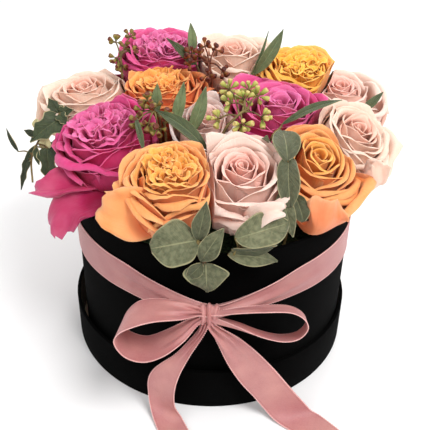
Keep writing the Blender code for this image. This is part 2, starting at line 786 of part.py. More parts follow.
def make_band(home):
    """The ribbon round the box, a closed hoop that narrows to the bow."""
    inner = BOX_RADIUS + GAP
    points = []
    for j in range(BAND_STEPS):
        turn = -180 + 360 * j / BAND_STEPS
        low, high = band_at(turn)
        out = vec(math.sin(math.radians(turn)), -math.cos(math.radians(turn)), 0)
        # A faceted hoop's flats come nearer the axis than its corners, and still clear the box
        clear = inner / math.cos(math.pi / BAND_STEPS)
        for radius, height in ((clear, low), (clear + RIBBON, low), (clear + RIBBON, high),
                               (clear, high)):
            points.append(out * radius + vec(0, 0, height))
    faces = []
    for j in range(BAND_STEPS):
        a = 4 * j
        b = 4 * ((j + 1) % BAND_STEPS)
        for k in range(4):
            m = (k + 1) % 4
            faces += [(a + k, b + k, b + m), (a + k, b + m, a + m)]
    place("ribbon_band", mesh_from(points, faces), "satin", home)


KNOT_CENTRE = (-2.0, -105.6, 84.5)
KNOT_SIZE = (7.0, 3.6, 10.5)


def make_knot(home):
    """The knot: a short wrap of ribbon, waisted where it is pulled tight."""
    rings = []
    for level, share in ((-0.9, 0.72), (-0.45, 1.0), (0.0, 0.94), (0.45, 1.0), (0.9, 0.72)):
        ring = []
        for j in range(10):
            a = 2 * math.pi * j / 10
            ring.append(vec(KNOT_CENTRE[0] + KNOT_SIZE[0] * share * math.cos(a),
                            KNOT_CENTRE[1] + KNOT_SIZE[1] * share * math.sin(a),
                            KNOT_CENTRE[2] + KNOT_SIZE[2] * level))
        rings.append(ring)
    first = vec(*KNOT_CENTRE) - vec(0, 0, KNOT_SIZE[2])
    last = vec(*KNOT_CENTRE) + vec(0, 0, KNOT_SIZE[2])
    place("ribbon_knot", ringed_solid(first, rings, last), "satin", home)


# Each loop and tail of the bow, from the knot: its middle line, the direction of its width and
# its width
BOW = {
    "bow_loop_left": (
        [(-9.3, -108.5, 89), (-20, -113, 94), (-36, -115, 97), (-50, -115, 95), (-59, -115, 86),
         (-61, -115, 76), (-54, -115, 67), (-42, -115, 63), (-30, -114, 67), (-18, -112, 75),
         (-9.3, -108.5, 81)],
        [(0, 1, 0.7), (0, 1, 0.2), (0, 1, 0), (0, 1, 0), (0.1, 1, -0.1), (0.1, 1, -0.2),
         (0, 1, 0), (0, 1, 0), (0, 1, 0.1), (0, 1, 0.3), (0, 1, 0.7)],
        [6, 15, 22, 24, 24, 24, 24, 24, 22, 15, 6]),
    "bow_loop_right": (
        [(5.3, -108.5, 88), (16, -112, 94), (32, -114, 97), (47, -115, 97), (57, -115, 91),
         (59, -115, 83), (54, -115, 75), (44, -115, 73), (30, -114, 77), (17, -112, 81),
         (5.3, -108.5, 82)],
        [(0, 1, -0.7), (0, 1, -0.2), (0, 1, 0), (0, 1, 0), (0, 1, 0), (0, 1, 0),
         (0, 1, 0), (0, 1, 0), (0, 1, 0), (0, 1, -0.3), (0, 1, -0.7)],
        [6, 15, 22, 24, 24, 24, 24, 24, 22, 15, 6]),
    "ribbon_tail_left": (
        [(-6.3, -109.2, 73.2), (-14, -111, 62), (-23, -111.5, 50), (-31, -111.5, 38),
         (-34, -111.5, 26), (-33, -111.5, 14), (-31, -114, 5.5), (-27, -121, 1.2),
         (-21, -134, 0.6), (-14, -150, 0.6), (-8, -164, 0.6)],
        [(0.9, 0.1, 0.5), (0.8, 0.3, 0.5), (0.85, 0.25, 0.4), (1, 0.1, 0.2), (1, 0, 0),
         (1, 0, -0.1), (1, 0, 0), (1, 0.3, 0), (1, 0.45, 0), (1, 0.45, 0), (1, 0.45, 0)],
        [7, 13, 15, 15, 15, 15, 16, 18, 22, 25, 25]),
    "ribbon_tail_right": (
        [(2, -108.3, 75.8), (12, -111.5, 66), (21, -112, 53), (31, -112, 38), (41, -112, 24),
         (50, -112, 11), (58, -114.5, 3), (67, -120, 0.7), (80, -134, 0.6), (92, -149, 0.6),
         (102, -163, 0.6)],
        [(0.5, -0.1, 0.6), (0.75, 0, 0.6), (0.82, 0, 0.56), (0.82, 0, 0.56),
         (0.85, 0, 0.5), (0.9, 0.1, 0.4), (0.9, 0.4, 0.1), (0.8, 0.6, 0), (0.78, 0.63, 0),
         (0.8, 0.6, 0), (0.8, 0.6, 0)],
        [8, 16, 22, 25, 25, 25, 25, 25, 25, 25, 25]),
}


def make_ribbon(home):
    make_band(home)
    make_knot(home)
    for name, (middle, across, widths) in BOW.items():
        place(name, ribbon_solid(middle, across, widths), "satin", home)


def main():
    clear_scene()
    home = collection(PART)
    make_lid(home)
    make_wall(home)
    base_top = make_base(home)
    liner_inner, liner_floor = make_liner(home, base_top)
    holes = make_roses(home)
    holes += make_foliage(home)
    make_foam(home, liner_inner, liner_floor, holes)
    make_ribbon(home)


main()
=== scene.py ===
# %% [markdown]
# # A box of roses
# A round velvet hat box stands in its own upturned lid, full of roses, with a satin ribbon tied
# round it. The solid model already fixes where everything is. This lesson gives each piece its
# real surface: petals that overlap and roll back, leaves with ribs, gathered ribbon and pile.
# Lengths are written in millimetres, because that is how a florist measures, and are turned into
# metres where a mesh is made.

# %% Load the frame
import math
from collections import namedtuple

import bpy
import numpy as np
from mathutils import Matrix, Vector


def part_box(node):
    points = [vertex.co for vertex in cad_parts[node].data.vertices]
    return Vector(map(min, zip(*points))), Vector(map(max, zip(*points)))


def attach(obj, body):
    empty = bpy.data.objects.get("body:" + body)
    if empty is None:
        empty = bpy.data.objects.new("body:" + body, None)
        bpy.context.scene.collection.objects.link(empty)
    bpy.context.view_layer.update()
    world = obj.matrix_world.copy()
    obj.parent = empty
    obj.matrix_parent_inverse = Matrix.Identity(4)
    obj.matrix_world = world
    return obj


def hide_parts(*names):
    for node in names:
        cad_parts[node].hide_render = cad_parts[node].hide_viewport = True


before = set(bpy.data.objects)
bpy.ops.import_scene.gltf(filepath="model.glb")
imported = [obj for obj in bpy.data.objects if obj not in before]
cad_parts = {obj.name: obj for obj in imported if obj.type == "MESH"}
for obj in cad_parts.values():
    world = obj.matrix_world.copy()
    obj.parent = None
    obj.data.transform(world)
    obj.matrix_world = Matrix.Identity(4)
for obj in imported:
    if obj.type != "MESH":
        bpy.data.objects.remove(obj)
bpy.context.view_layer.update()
MM = 0.001
MERGE_WITHIN = 0.00001
scene = bpy.context.scene

# %% [markdown]
# ## Writing node trees as formulas
# A node tree is only arithmetic on a field, but a long chain of Math nodes is hard to read. This
# small class lets a socket be added, multiplied and divided like a number, so that a petal's
# shape or a petal's colour is written as the formula that it is.

# %% A socket that can be used like a number


class Formula:
    """A value inside a node tree that is added to and multiplied like a number."""

    def __init__(self, tree, socket):
        self.tree = tree
        self.socket = socket

    def __add__(self, other):
        return calculate(self.tree, "ADD", self, other)

    def __sub__(self, other):
        return calculate(self.tree, "SUBTRACT", self, other)

    def __mul__(self, other):
        return calculate(self.tree, "MULTIPLY", self, other)

    def __truediv__(self, other):
        return calculate(self.tree, "DIVIDE", self, other)

    def __pow__(self, other):
        return calculate(self.tree, "POWER", self, other)

    def __abs__(self):
        return calculate(self.tree, "ABSOLUTE", self)

    def __rsub__(self, other):
        return calculate(self.tree, "SUBTRACT", other, self)

    def __rtruediv__(self, other):
        return calculate(self.tree, "DIVIDE", other, self)

    __radd__ = __add__
    __rmul__ = __mul__


def connect(tree, value, socket):
    """Feeds a formula, or a plain value, into a socket."""
    if isinstance(value, Formula):
        tree.links.new(value.socket, socket)
    else:
        socket.default_value = value


def calculate(tree, operation, *values):
    node = tree.nodes.new("ShaderNodeMath")
    node.operation = operation
    for value, socket in zip(values, node.inputs):
        connect(tree, value, socket)
    return Formula(tree, node.outputs[0])


def sine(value):
    return calculate(value.tree, "SINE", value)


def cosine(value):
    return calculate(value.tree, "COSINE", value)


def lowest(value, limit):
    return calculate(value.tree, "MINIMUM", value, limit)


def highest(value, limit):
    return calculate(value.tree, "MAXIMUM", value, limit)


def step_between(value, start, end):
    """0 before start, 1 after end, and a smooth step between."""
    node = value.tree.nodes.new("ShaderNodeMapRange")
    node.interpolation_type = "SMOOTHSTEP"
    connect(value.tree, value, node.inputs["Value"])
    connect(value.tree, start, node.inputs["From Min"])
    connect(value.tree, end, node.inputs["From Max"])
    return Formula(value.tree, node.outputs[0])


def vector(tree, x, y, z):
    node = tree.nodes.new("ShaderNodeCombineXYZ")
    for value, socket in zip((x, y, z), node.inputs):
        connect(tree, value, socket)
    return Formula(tree, node.outputs[0])


def parts_of(value):
    """The x, y and z of a vector."""
    node = value.tree.nodes.new("ShaderNodeSeparateXYZ")
    connect(value.tree, value, node.inputs[0])
    return [Formula(value.tree, socket) for socket in node.outputs]


def noise(tree, place, size, detail=2.0):
    node = tree.nodes.new("ShaderNodeTexNoise")
    connect(tree, place, node.inputs["Vector"])
    connect(tree, size, node.inputs["Scale"])
    node.inputs["Detail"].default_value = detail
    return Formula(tree, node.outputs[0])


# %% [markdown]
# ## Colours
# Colours are given as screen values from 0 to 255, and the shaders want linear light, so
# one function turns the first into the second.

# %% Colours and mixing


def screen(red, green, blue):
    """A screen colour as linear light."""
    values = [channel / 255 for channel in (red, green, blue)]
    linear = [v / 12.92 if v <= 0.04045 else ((v + 0.055) / 1.055) ** 2.4 for v in values]
    return (*linear, 1.0)


def blended(tree, share, first, second):
    """The first colour where share is 0, the second where it is 1."""
    node = tree.nodes.new("ShaderNodeMix")
    node.data_type = "RGBA"
    connect(tree, share, node.inputs["Factor"])
    slots = [socket for socket in node.inputs if socket.type == "RGBA"]
    connect(tree, first, slots[0])
    connect(tree, second, slots[1])
    made = [socket for socket in node.outputs if socket.type == "RGBA"]
    return Formula(tree, made[0])


def attribute(tree, name):
    """A number that the mesh carries at each point."""
    node = tree.nodes.new("ShaderNodeAttribute")
    node.attribute_name = name
    return Formula(tree, node.outputs["Fac"])


def object_place(tree):
    node = tree.nodes.new("ShaderNodeTexCoord")
    return Formula(tree, node.outputs["Object"])


# %% [markdown]
# ## Effects that several finishes share
# Petals, leaves, velvet and satin are all a little cloudy, and petals, leaves and satin all have
# fine lines that run one way. Each effect is a shader node group, built once and placed in every
# material that needs it with its own values.

# %% Start a node group, and use one


def new_tree(kind, name, inputs, outputs):
    """A node group: its tree, its inputs as formulas by name, and its output node."""
    tree = bpy.data.node_groups.new(name, kind)
    for direction, sockets in (("INPUT", inputs), ("OUTPUT", outputs)):
        for label, socket_type in sockets:
            tree.interface.new_socket(label, in_out=direction, socket_type=socket_type)
    entry = tree.nodes.new("NodeGroupInput")
    leave = tree.nodes.new("NodeGroupOutput")
    given = {socket.name: Formula(tree, socket) for socket in entry.outputs if socket.name}
    return tree, given, leave


def use_group(tree, group, values):
    """Places a group in a material's tree, and returns its outputs by name."""
    node = tree.nodes.new("ShaderNodeGroup")
    node.node_tree = group
    for name, value in values.items():
        connect(tree, value, node.inputs[name])
    return {socket.name: Formula(tree, socket) for socket in node.outputs}


# %% Clouds and streaks
CLOUD_DETAIL = 3.0
STREAK_EDGES = (0.32, 0.68)
SEED_SPACING = 37.0


def make_clouds():
    """Soft blotches: a colour between light and dark, and the mask itself."""
    tree, given, leave = new_tree(
        "ShaderNodeTree", "Cloudy colour",
        [("Place", "NodeSocketVector"), ("Blotches per metre", "NodeSocketFloat"),
         ("Light", "NodeSocketColor"), ("Dark", "NodeSocketColor"),
         ("Contrast", "NodeSocketFloat")],
        [("Colour", "NodeSocketColor"), ("Mask", "NodeSocketFloat")])
    grain = noise(tree, given["Place"], given["Blotches per metre"], CLOUD_DETAIL)
    mask = step_between((grain - 0.5) * given["Contrast"] + 0.5, 0.0, 1.0)
    connect(tree, blended(tree, mask, given["Light"], given["Dark"]), leave.inputs["Colour"])
    connect(tree, mask, leave.inputs["Mask"])
    return tree


def make_streaks():
    """Fine lines that run along a sheet, from its place across and along it."""
    tree, given, leave = new_tree(
        "ShaderNodeTree", "Fine streaks",
        [("Across", "NodeSocketFloat"), ("Along", "NodeSocketFloat"), ("Lines", "NodeSocketFloat"),
         ("Wander", "NodeSocketFloat"), ("Seed", "NodeSocketFloat")],
        [("Mask", "NodeSocketFloat")])
    place = vector(tree, given["Across"] * given["Lines"], given["Along"] * given["Wander"],
                   given["Seed"] * SEED_SPACING)
    grain = noise(tree, place, 1.0, 2.0)
    connect(tree, step_between(grain, *STREAK_EDGES), leave.inputs["Mask"])
    return tree


CLOUDS = make_clouds()
STREAKS = make_streaks()


def cloudy(tree, blotches, light, dark, contrast):
    """Places the clouds in a material, in the piece's own space."""
    return use_group(tree, CLOUDS, {
        "Place": object_place(tree), "Blotches per metre": blotches, "Light": light,
        "Dark": dark, "Contrast": contrast})


print("shader groups:", CLOUDS.name, "and", STREAKS.name)

# %% [markdown]
# ## A material starts the same way each time
# The Principled shader stays in the material itself. Values that are the same all over, such as
# sheen, are set on its own sockets, and only what changes over the surface comes in by a link.
# Board, foam, twigs and thread need no more than one cloudy colour, so one function makes them.

# %% Start a material


def new_material(name, roughness, sheen=0.0, subsurface=0.0, depth=0.003, specular=0.4,
                 alpha=1.0):
    """A material with its values set; depth is how far light spreads under the skin, in metres."""
    material = bpy.data.materials.new(name)
    material.use_nodes = True
    tree = material.node_tree
    shader = tree.nodes["Principled BSDF"]
    shader.inputs["Roughness"].default_value = roughness
    shader.inputs["Sheen Weight"].default_value = sheen
    shader.inputs["Subsurface Weight"].default_value = subsurface
    shader.inputs["Subsurface Scale"].default_value = depth
    shader.inputs["Specular IOR Level"].default_value = specular
    shader.inputs["Alpha"].default_value = alpha
    return material, tree, shader


def add_relief(tree, shader, height, depth):
    """Bumps the surface by a height field; depth is in metres."""
    bump = tree.nodes.new("ShaderNodeBump")
    bump.inputs["Strength"].default_value = 1.0
    bump.inputs["Distance"].default_value = depth
    connect(tree, height, bump.inputs["Height"])
    tree.links.new(bump.outputs["Normal"], shader.inputs["Normal"])


def cloudy_material(name, roughness, blotches, light, dark, contrast, relief=0.0, **values):
    """One cloudy colour between light and dark, with the clouds as its relief if it has one."""
    material, tree, shader = new_material(name, roughness, **values)
    clouds = cloudy(tree, blotches, light, dark, contrast)
    connect(tree, clouds["Colour"], shader.inputs["Base Color"])
    if relief:
        add_relief(tree, shader, clouds["Mask"], relief)
    return material


# %% [markdown]
# ## Velvet, paper, film and foam
# The box is board wrapped in black velvet, whose short pile goes slightly grey where a hand has
# brushed it. The lid's inside is lined with cream paper. One material serves the lid and the
# wall: it measures how far a point is from the axis, and changes to paper inside.

# %% Velvet and paper
BOX_RADIUS = 100.0
WALL = 2.4
RIM_HEIGHT = 126.9
BOX_FLOOR = 2.7
LID_RADIUS = 105.0
LID_HEIGHT = 32.9
LID_SHIFT = -1.5
LINING_BLEND = (-0.3, 0.1)
PILE_PER_METRE = 2400.0
PILE_DEPTH = 0.0003


def make_velvet(name, lining_radius, shift):
    """Black velvet that turns to cream paper inside the lining's radius, in millimetres."""
    material, tree, shader = new_material(name, 0.95, sheen=0.01, specular=0.02)
    shader.inputs["Sheen Roughness"].default_value = 0.45
    place = object_place(tree)
    brushed = cloudy(tree, 22.0, screen(2, 2, 2), screen(6, 6, 6), 1.6)
    x, y, _ = parts_of(place)
    reach = calculate(tree, "SQRT", (x - shift * MM) ** 2.0 + y ** 2.0)
    start, end = [(lining_radius + offset) * MM for offset in LINING_BLEND]
    lining = 1.0 - step_between(reach, start, end)
    fibres = cloudy(tree, 350.0, screen(226, 213, 190), screen(205, 190, 164), 2.0)
    colour = blended(tree, lining, brushed["Colour"], fibres["Colour"])
    connect(tree, colour, shader.inputs["Base Color"])
    add_relief(tree, shader, noise(tree, place, PILE_PER_METRE), PILE_DEPTH)
    return material


VELVET = make_velvet("velvet_wall", BOX_RADIUS - WALL, 0.0)
LID_VELVET = make_velvet("velvet_lid", LID_RADIUS - WALL, LID_SHIFT)
print("velvet turns to paper inside", BOX_RADIUS - WALL, "and", LID_RADIUS - WALL, "mm")

# %% Film, board and foam
# The film is hazy and lets the velvet show through. The board is grey and fibrous. Wet floral
# foam is dark green, with a fine open grain.
FILM = cloudy_material("liner_film", 0.12, 40.0, screen(176, 190, 160), screen(128, 140, 106), 2.0,
                       specular=0.6, alpha=0.45)
BOARD = cloudy_material("grey_board", 0.85, 420.0, screen(214, 200, 172), screen(186, 170, 142),
                        2.4, relief=0.0002, specular=0.2)
FOAM = cloudy_material("wet_foam", 0.9, 520.0, screen(58, 84, 50), screen(20, 34, 18), 3.0,
                       relief=0.0006, specular=0.3)
print("plain materials:", [material.name for material in (FILM, BOARD, FOAM)])

# %% [markdown]
# ## Small helpers that finish a piece
# Each finished piece sits at the origin with its place in its mesh, rides on the one body that
# the object has, and hides the solid that it stands for.

# %% Finish a piece


def new_piece(name, shape, *materials):
    """An object in the scene, with a mesh or a curve as its shape."""
    piece = bpy.data.objects.new(name, shape)
    scene.collection.objects.link(piece)
    for material in materials:
        shape.materials.append(material)
    return piece


def plain_mesh(piece):
    """The mesh that a piece's modifiers, or its curve, come out as."""
    graph = bpy.context.evaluated_depsgraph_get()
    return bpy.data.meshes.new_from_object(piece.evaluated_get(graph), depsgraph=graph)


def applied(piece):
    """Gives a piece the plain mesh that its modifiers make, and removes them."""
    mesh = plain_mesh(piece)
    piece.modifiers.clear()
    piece.data = mesh
    mesh.name = piece.name
    return piece


def finish_piece(piece, slot, *nodes):
    """Hides the solids that a piece stands for and sets it on the body that it rides on. Slot is
    not used.
    """
    if nodes:
        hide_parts(*nodes)
    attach(piece, "root")


def paint_solid(node, material):
    """A solid that the scene keeps gets a real finish in place of its plain one."""
    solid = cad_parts[node]
    solid.data.materials.clear()
    solid.data.materials.append(material)


def triangles(piece):
    return sum(len(face.vertices) - 2 for face in piece.data.polygons)


# %% [markdown]
# ## The box and its lid
# Wall, lid and liner are all turned forms, so each is a profile spun by a Screw modifier with many
# more steps than the solid has. The velvet wraps over the board's edge, so a Bevel rounds it.

# %% Turn a profile
TURN_STEPS = 144
EDGE_ROUNDING = 0.7
EDGE_SEGMENTS = 3
EDGE_ANGLE = math.radians(50)


def spin(piece, steps, merge_within):
    """Spins a profile round the upright axis."""
    screw = piece.modifiers.new("spin", "SCREW")
    screw.steps = steps
    screw.render_steps = steps
    screw.use_merge_vertices = True
    screw.merge_threshold = merge_within


def turned(name, profile, material, shift=0.0, rounding=EDGE_ROUNDING):
    """A turned piece. The profile runs down its outer side; it closes itself off the axis."""
    mesh = bpy.data.meshes.new(name)
    points = [(radius * MM, 0.0, height * MM) for radius, height in profile]
    edges = [(i, i + 1) for i in range(len(points) - 1)]
    if profile[0][0] > 0:
        edges.append((len(points) - 1, 0))
    mesh.from_pydata(points, edges, [])
    piece = new_piece(name, mesh, material)
    spin(piece, TURN_STEPS, MERGE_WITHIN)
    soften = piece.modifiers.new("soften", "BEVEL")
    soften.width = rounding * MM
    soften.segments = EDGE_SEGMENTS
    soften.limit_method = "ANGLE"
    soften.angle_limit = EDGE_ANGLE
    applied(piece)
    piece.data.transform(Matrix.Translation((shift * MM, 0, 0)))
    piece.data.shade_smooth()
    piece.data.set_sharp_from_angle(angle=EDGE_ANGLE)
    return piece


# %% The wall, the lid and the film liner
LINER_WALL = 0.8
LINER_ROUNDING = 0.2
inner = BOX_RADIUS - WALL
wall = turned("velvet_wall", [(inner, RIM_HEIGHT), (BOX_RADIUS, RIM_HEIGHT),
                              (BOX_RADIUS, BOX_FLOOR), (inner, BOX_FLOOR)], VELVET)
finish_piece(wall, "velvet", "box_wall")

lid_inner = LID_RADIUS - WALL
lid = turned("velvet_lid", [(0, WALL), (lid_inner, WALL), (lid_inner, LID_HEIGHT),
                            (LID_RADIUS, LID_HEIGHT), (LID_RADIUS, 0), (0, 0)],
             LID_VELVET, shift=LID_SHIFT)
finish_piece(lid, "velvet", "lid")

liner_low, liner_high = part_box("liner")
liner_radius = liner_high.x / MM
film = turned("film_liner", [(liner_radius - LINER_WALL, liner_high.z / MM),
                             (liner_radius, liner_high.z / MM),
                             (liner_radius, liner_low.z / MM + LINER_WALL),
                             (liner_radius - LINER_WALL, liner_low.z / MM + LINER_WALL)],
              FILM, rounding=LINER_ROUNDING)
finish_piece(film, "film", "liner")
print("turned pieces:", {p.name: triangles(p) for p in (wall, lid, film)})

# %% The hidden board and the foam keep their solids
paint_solid("box_base", BOARD)
paint_solid("foam", FOAM)
print("box_base is painted", BOARD.name, "and foam is painted", FOAM.name)

# %% [markdown]
# ## Sheets: one way to build petals, leaves and ribbon
# All three are thin sheets. Each is laid out as a grid of points, made into quads, and given a
# real thickness by Solidify, which also closes its edges. Every point remembers its place across
# and along the sheet, because veins, selvedges and pale rims follow the surface, not the room.

# %% Build a mesh from grids and give it a thickness
SHEET_EDGE_ANGLE = math.radians(75)


def grid_mesh(name, sheets, marks=None):
    """One mesh from grids of points in millimetres, each grid across first and then along.

    Marks gives each grid a number of its own, which all its points carry.
    """
    points = []
    faces = []
    across = []
    along = []
    mark = []
    for index, sheet in enumerate(sheets):
        columns, rows = sheet.shape[:2]
        start = len(points)
        points += list(sheet.reshape(-1, 3) * MM)
        u, v = np.meshgrid(np.linspace(-1, 1, columns), np.linspace(0, 1, rows), indexing="ij")
        across += list(u.ravel())
        along += list(v.ravel())
        mark += [marks[index] if marks else 0.0] * (columns * rows)
        for i in range(columns - 1):
            for j in range(rows - 1):
                a = start + i * rows + j
                faces.append((a, a + rows, a + rows + 1, a + 1))
    mesh = bpy.data.meshes.new(name)
    mesh.from_pydata([tuple(p) for p in points], [], faces)
    store(mesh, "across", across)
    store(mesh, "along", along)
    store(mesh, "mark", mark)
    return mesh


def store(mesh, name, values):
    """Keeps a number for each point of a mesh."""
    layer = mesh.attributes.get(name) or mesh.attributes.new(name, "FLOAT", "POINT")
    layer.data.foreach_set("value", np.asarray(values, dtype=np.float32))


def thicken(piece, thickness, crisp=True):
    """Closes a sheet into a thin solid, and marks the points of its outer face.

    Crisp keeps the sheet's cut edge sharp, where a petal's is smoothed over.
    """
    flat_points = len(piece.data.vertices)
    shell = piece.modifiers.new("thickness", "SOLIDIFY")
    shell.thickness = thickness * MM
    shell.offset = 0.0
    shell.use_rim = True
    shell.use_quality_normals = True
    applied(piece)
    outer = np.zeros(len(piece.data.vertices))
    outer[:flat_points] = 1.0
    store(piece.data, "outside", outer)
    piece.data.shade_smooth()
    if crisp:
        piece.data.set_sharp_from_angle(angle=SHEET_EDGE_ANGLE)
    return piece


# %% [markdown]
# ## Petal colours
# A rose petal isn't one colour. It is deepest near its root, paler at its rim and deeper again on
# its back, partly in its own colour and partly as painted shade where roots and backs lie in shade
# inside the bloom. The small petals in the heart have a colour of their own. The mesh carries how
# far a point is along its petal and how far in its petal is, and the material mixes from those. A
# broad petal with painted shade carries a mark below zero, which mixes in its root's colour for
# shade and for the outer petals' own deeper tone. A Mix node holds its factor between 0 and 1, so a
# share below zero does nothing.

# %% Petal materials
HEART_SPAN = (0.15, 0.75)
ROOT_SPAN = (0.15, 0.75)
ROOT_SHARE = 0.75
BACK_SHARE = 0.8
BACK_LOST_INWARD = 0.8
PAINTED_SHADE_SHARE = 0.6
SIDE_RIM_POWER = 9.0
TIP_RIM_POWER = 14.0
RIM_SHARE = 0.32
VEIN_LINES = 24.0
VEIN_WANDER = 2.2
VEIN_SHARE = 0.07
HUE_SHARE = 0.14
CLOUD_SHARE = 0.10
VEIN_DEPTH = 0.00008


def make_petal(name, heart, body, rim, back, root):
    """Colours of the inmost petals, the outer ones, their rims, their backs and their roots."""
    material, tree, shader = new_material(
        name, 0.55, sheen=0.12, subsurface=0.35, depth=0.004, specular=0.22)
    shader.inputs["Subsurface Radius"].default_value = (1.0, 0.75, 0.65)
    across = attribute(tree, "across")
    along = attribute(tree, "along")
    inward = attribute(tree, "inward")
    outside = attribute(tree, "outside")
    hue = attribute(tree, "hue")
    front = blended(tree, step_between(inward, *HEART_SPAN), screen(*body), screen(*heart))
    # Partly painted shade: the back and the root take deeper colours, some of it the petal's own
    # colour.
    back_tone_and_shade = outside * (1.0 - inward * BACK_LOST_INWARD) * BACK_SHARE
    colour = blended(tree, back_tone_and_shade, front, screen(*back))
    root_tone_and_shade = 1.0 - step_between(along, *ROOT_SPAN)
    colour = blended(tree, root_tone_and_shade * ROOT_SHARE, colour, screen(*root))
    # Painted shade: a collar or guard petal with a mark below zero takes its root's colour.
    colour = blended(tree, inward * -PAINTED_SHADE_SHARE, colour, screen(*root))
    edge = highest(abs(across) ** SIDE_RIM_POWER, along ** TIP_RIM_POWER)
    colour = blended(tree, edge * RIM_SHARE, colour, screen(*rim))
    veins = use_group(tree, STREAKS, {
        "Across": across, "Along": along, "Lines": VEIN_LINES, "Wander": VEIN_WANDER,
        "Seed": hue})
    colour = blended(tree, veins["Mask"] * VEIN_SHARE, colour, screen(*root))
    colour = blended(tree, hue * HUE_SHARE, colour, screen(*root))
    clouds = cloudy(tree, 90.0, screen(*rim), screen(*root), 2.2)
    colour = blended(tree, CLOUD_SHARE, colour, clouds["Colour"])
    connect(tree, colour, shader.inputs["Base Color"])
    add_relief(tree, shader, veins["Mask"], VEIN_DEPTH)
    return material


PETALS = {
    "hot_pink": make_petal("petal_hot_pink", (238, 104, 162), (224, 52, 122), (240, 132, 178),
                           (190, 24, 82), (158, 8, 62)),
    "magenta": make_petal("petal_magenta", (238, 112, 168), (226, 60, 128), (240, 136, 180),
                          (192, 28, 84), (160, 10, 62)),
    "orange": make_petal("petal_orange", (255, 180, 76), (246, 160, 92), (252, 196, 146),
                         (220, 126, 86), (230, 110, 50)),
    "yellow_orange": make_petal("petal_yellow_orange", (255, 192, 66), (255, 178, 72),
                                (255, 208, 128), (246, 154, 76), (240, 132, 34)),
    "coral_orange": make_petal("petal_coral_orange", (255, 176, 84), (246, 140, 78),
                               (255, 184, 122), (222, 84, 54), (224, 78, 44)),
    "blush": make_petal("petal_blush", (248, 180, 165), (247, 213, 196), (252, 227, 209),
                        (236, 192, 175), (240, 168, 153)),
    "cream_blush": make_petal("petal_cream_blush", (250, 186, 165), (246, 213, 190),
                              (249, 226, 203), (236, 197, 175), (240, 172, 152)),
    # A lit copy of blush: painted light makes the centre rose paler, since it sits in the other
    # blooms' shade.
    "painted_light_blush": make_petal("petal_soft_blush", (255, 198, 186), (255, 234, 224),
                             (255, 242, 232), (255, 222, 210), (255, 196, 184)),
}
print("petal colours:", ", ".join(PETALS))

# %% [markdown]
# ## One petal as a formula
# Every petal is the same sheet, bent by a rule: it starts narrow near the cup's axis, swells out
# to its lip, wraps round the axis, and rolls back at its edge. That is a rule, so it is a Geometry
# Nodes tree. The tree gets a cloud of points, one for each petal, and each point carries how that
# petal differs: its turn, its reach, how wide it is and how far it rolls.

# %% Helpers for geometry trees
GEOMETRY = [("Geometry", "NodeSocketGeometry")]


def new_geometry_tree(name, inputs):
    return new_tree("GeometryNodeTree", name, GEOMETRY + inputs, GEOMETRY)


def add_node(tree, kind, **values):
    """Adds a node and fills its named inputs; underscores stand for spaces."""
    node = tree.nodes.new(kind)
    for name, value in values.items():
        label = name.replace("_", " ")
        connect(tree, value, node.inputs[label])
    return node


def read_mark(tree, name):
    node = tree.nodes.new("GeometryNodeInputNamedAttribute")
    node.data_type = "FLOAT"
    node.inputs["Name"].default_value = name
    return Formula(tree, node.outputs["Attribute"])


def keep_mark(tree, geometry, name, value):
    node = tree.nodes.new("GeometryNodeStoreNamedAttribute")
    node.data_type = "FLOAT"
    node.domain = "POINT"
    node.inputs["Name"].default_value = name
    connect(tree, geometry, node.inputs["Geometry"])
    connect(tree, value, node.inputs["Value"])
    return Formula(tree, node.outputs["Geometry"])


def made_real(tree, placed):
    """The copies that stand on points, as one real mesh."""
    real = add_node(tree, "GeometryNodeRealizeInstances",
                    Geometry=Formula(tree, placed.outputs["Instances"]))
    return Formula(tree, real.outputs["Geometry"])


def put_out(tree, geometry, given, leave):
    """Gives the geometry the tree's material, and puts it out."""
    painted = add_node(tree, "GeometryNodeSetMaterial", Geometry=geometry,
                       Material=given["Material"])
    connect(tree, Formula(tree, painted.outputs["Geometry"]), leave.inputs["Geometry"])


# %% The petal tree
PETAL_COLUMNS = 15
PETAL_ROWS = 14
PETAL_MARKS = ("turn", "lip", "level", "width", "curl", "roll", "belly", "ruffle", "flat", "dip",
               "shift_x", "shift_y", "inward", "hue")
ROLL_START = 0.66
FOOT_WIDTH = 0.55
WIDTH_GAINED = 0.45
FOOT_REACH = 0.15
INWARD_REACH = 0.25
SKEW = 0.05
PHASE_SPREAD = 40.0
NOISE_SPREAD = 90.0
NOISE_STRETCH = 1.1
DENT_GRAIN = 1.2
DENT_DEPTH = 0.14
LIFT_GRAIN = 1.9
DENT_LIFT = 0.08
RUFFLE_WAVES = 5.2
RUFFLE_LIFT = 3.0
CURL_GRAIN = 2.4
SIDE_ROLL_START = 0.72
SIDE_ROLL_SPAN = 0.28
SIDE_ROLL_SHARE = 0.12
LEAST_RADIUS = 0.0002
LEAST_CURL = 0.001


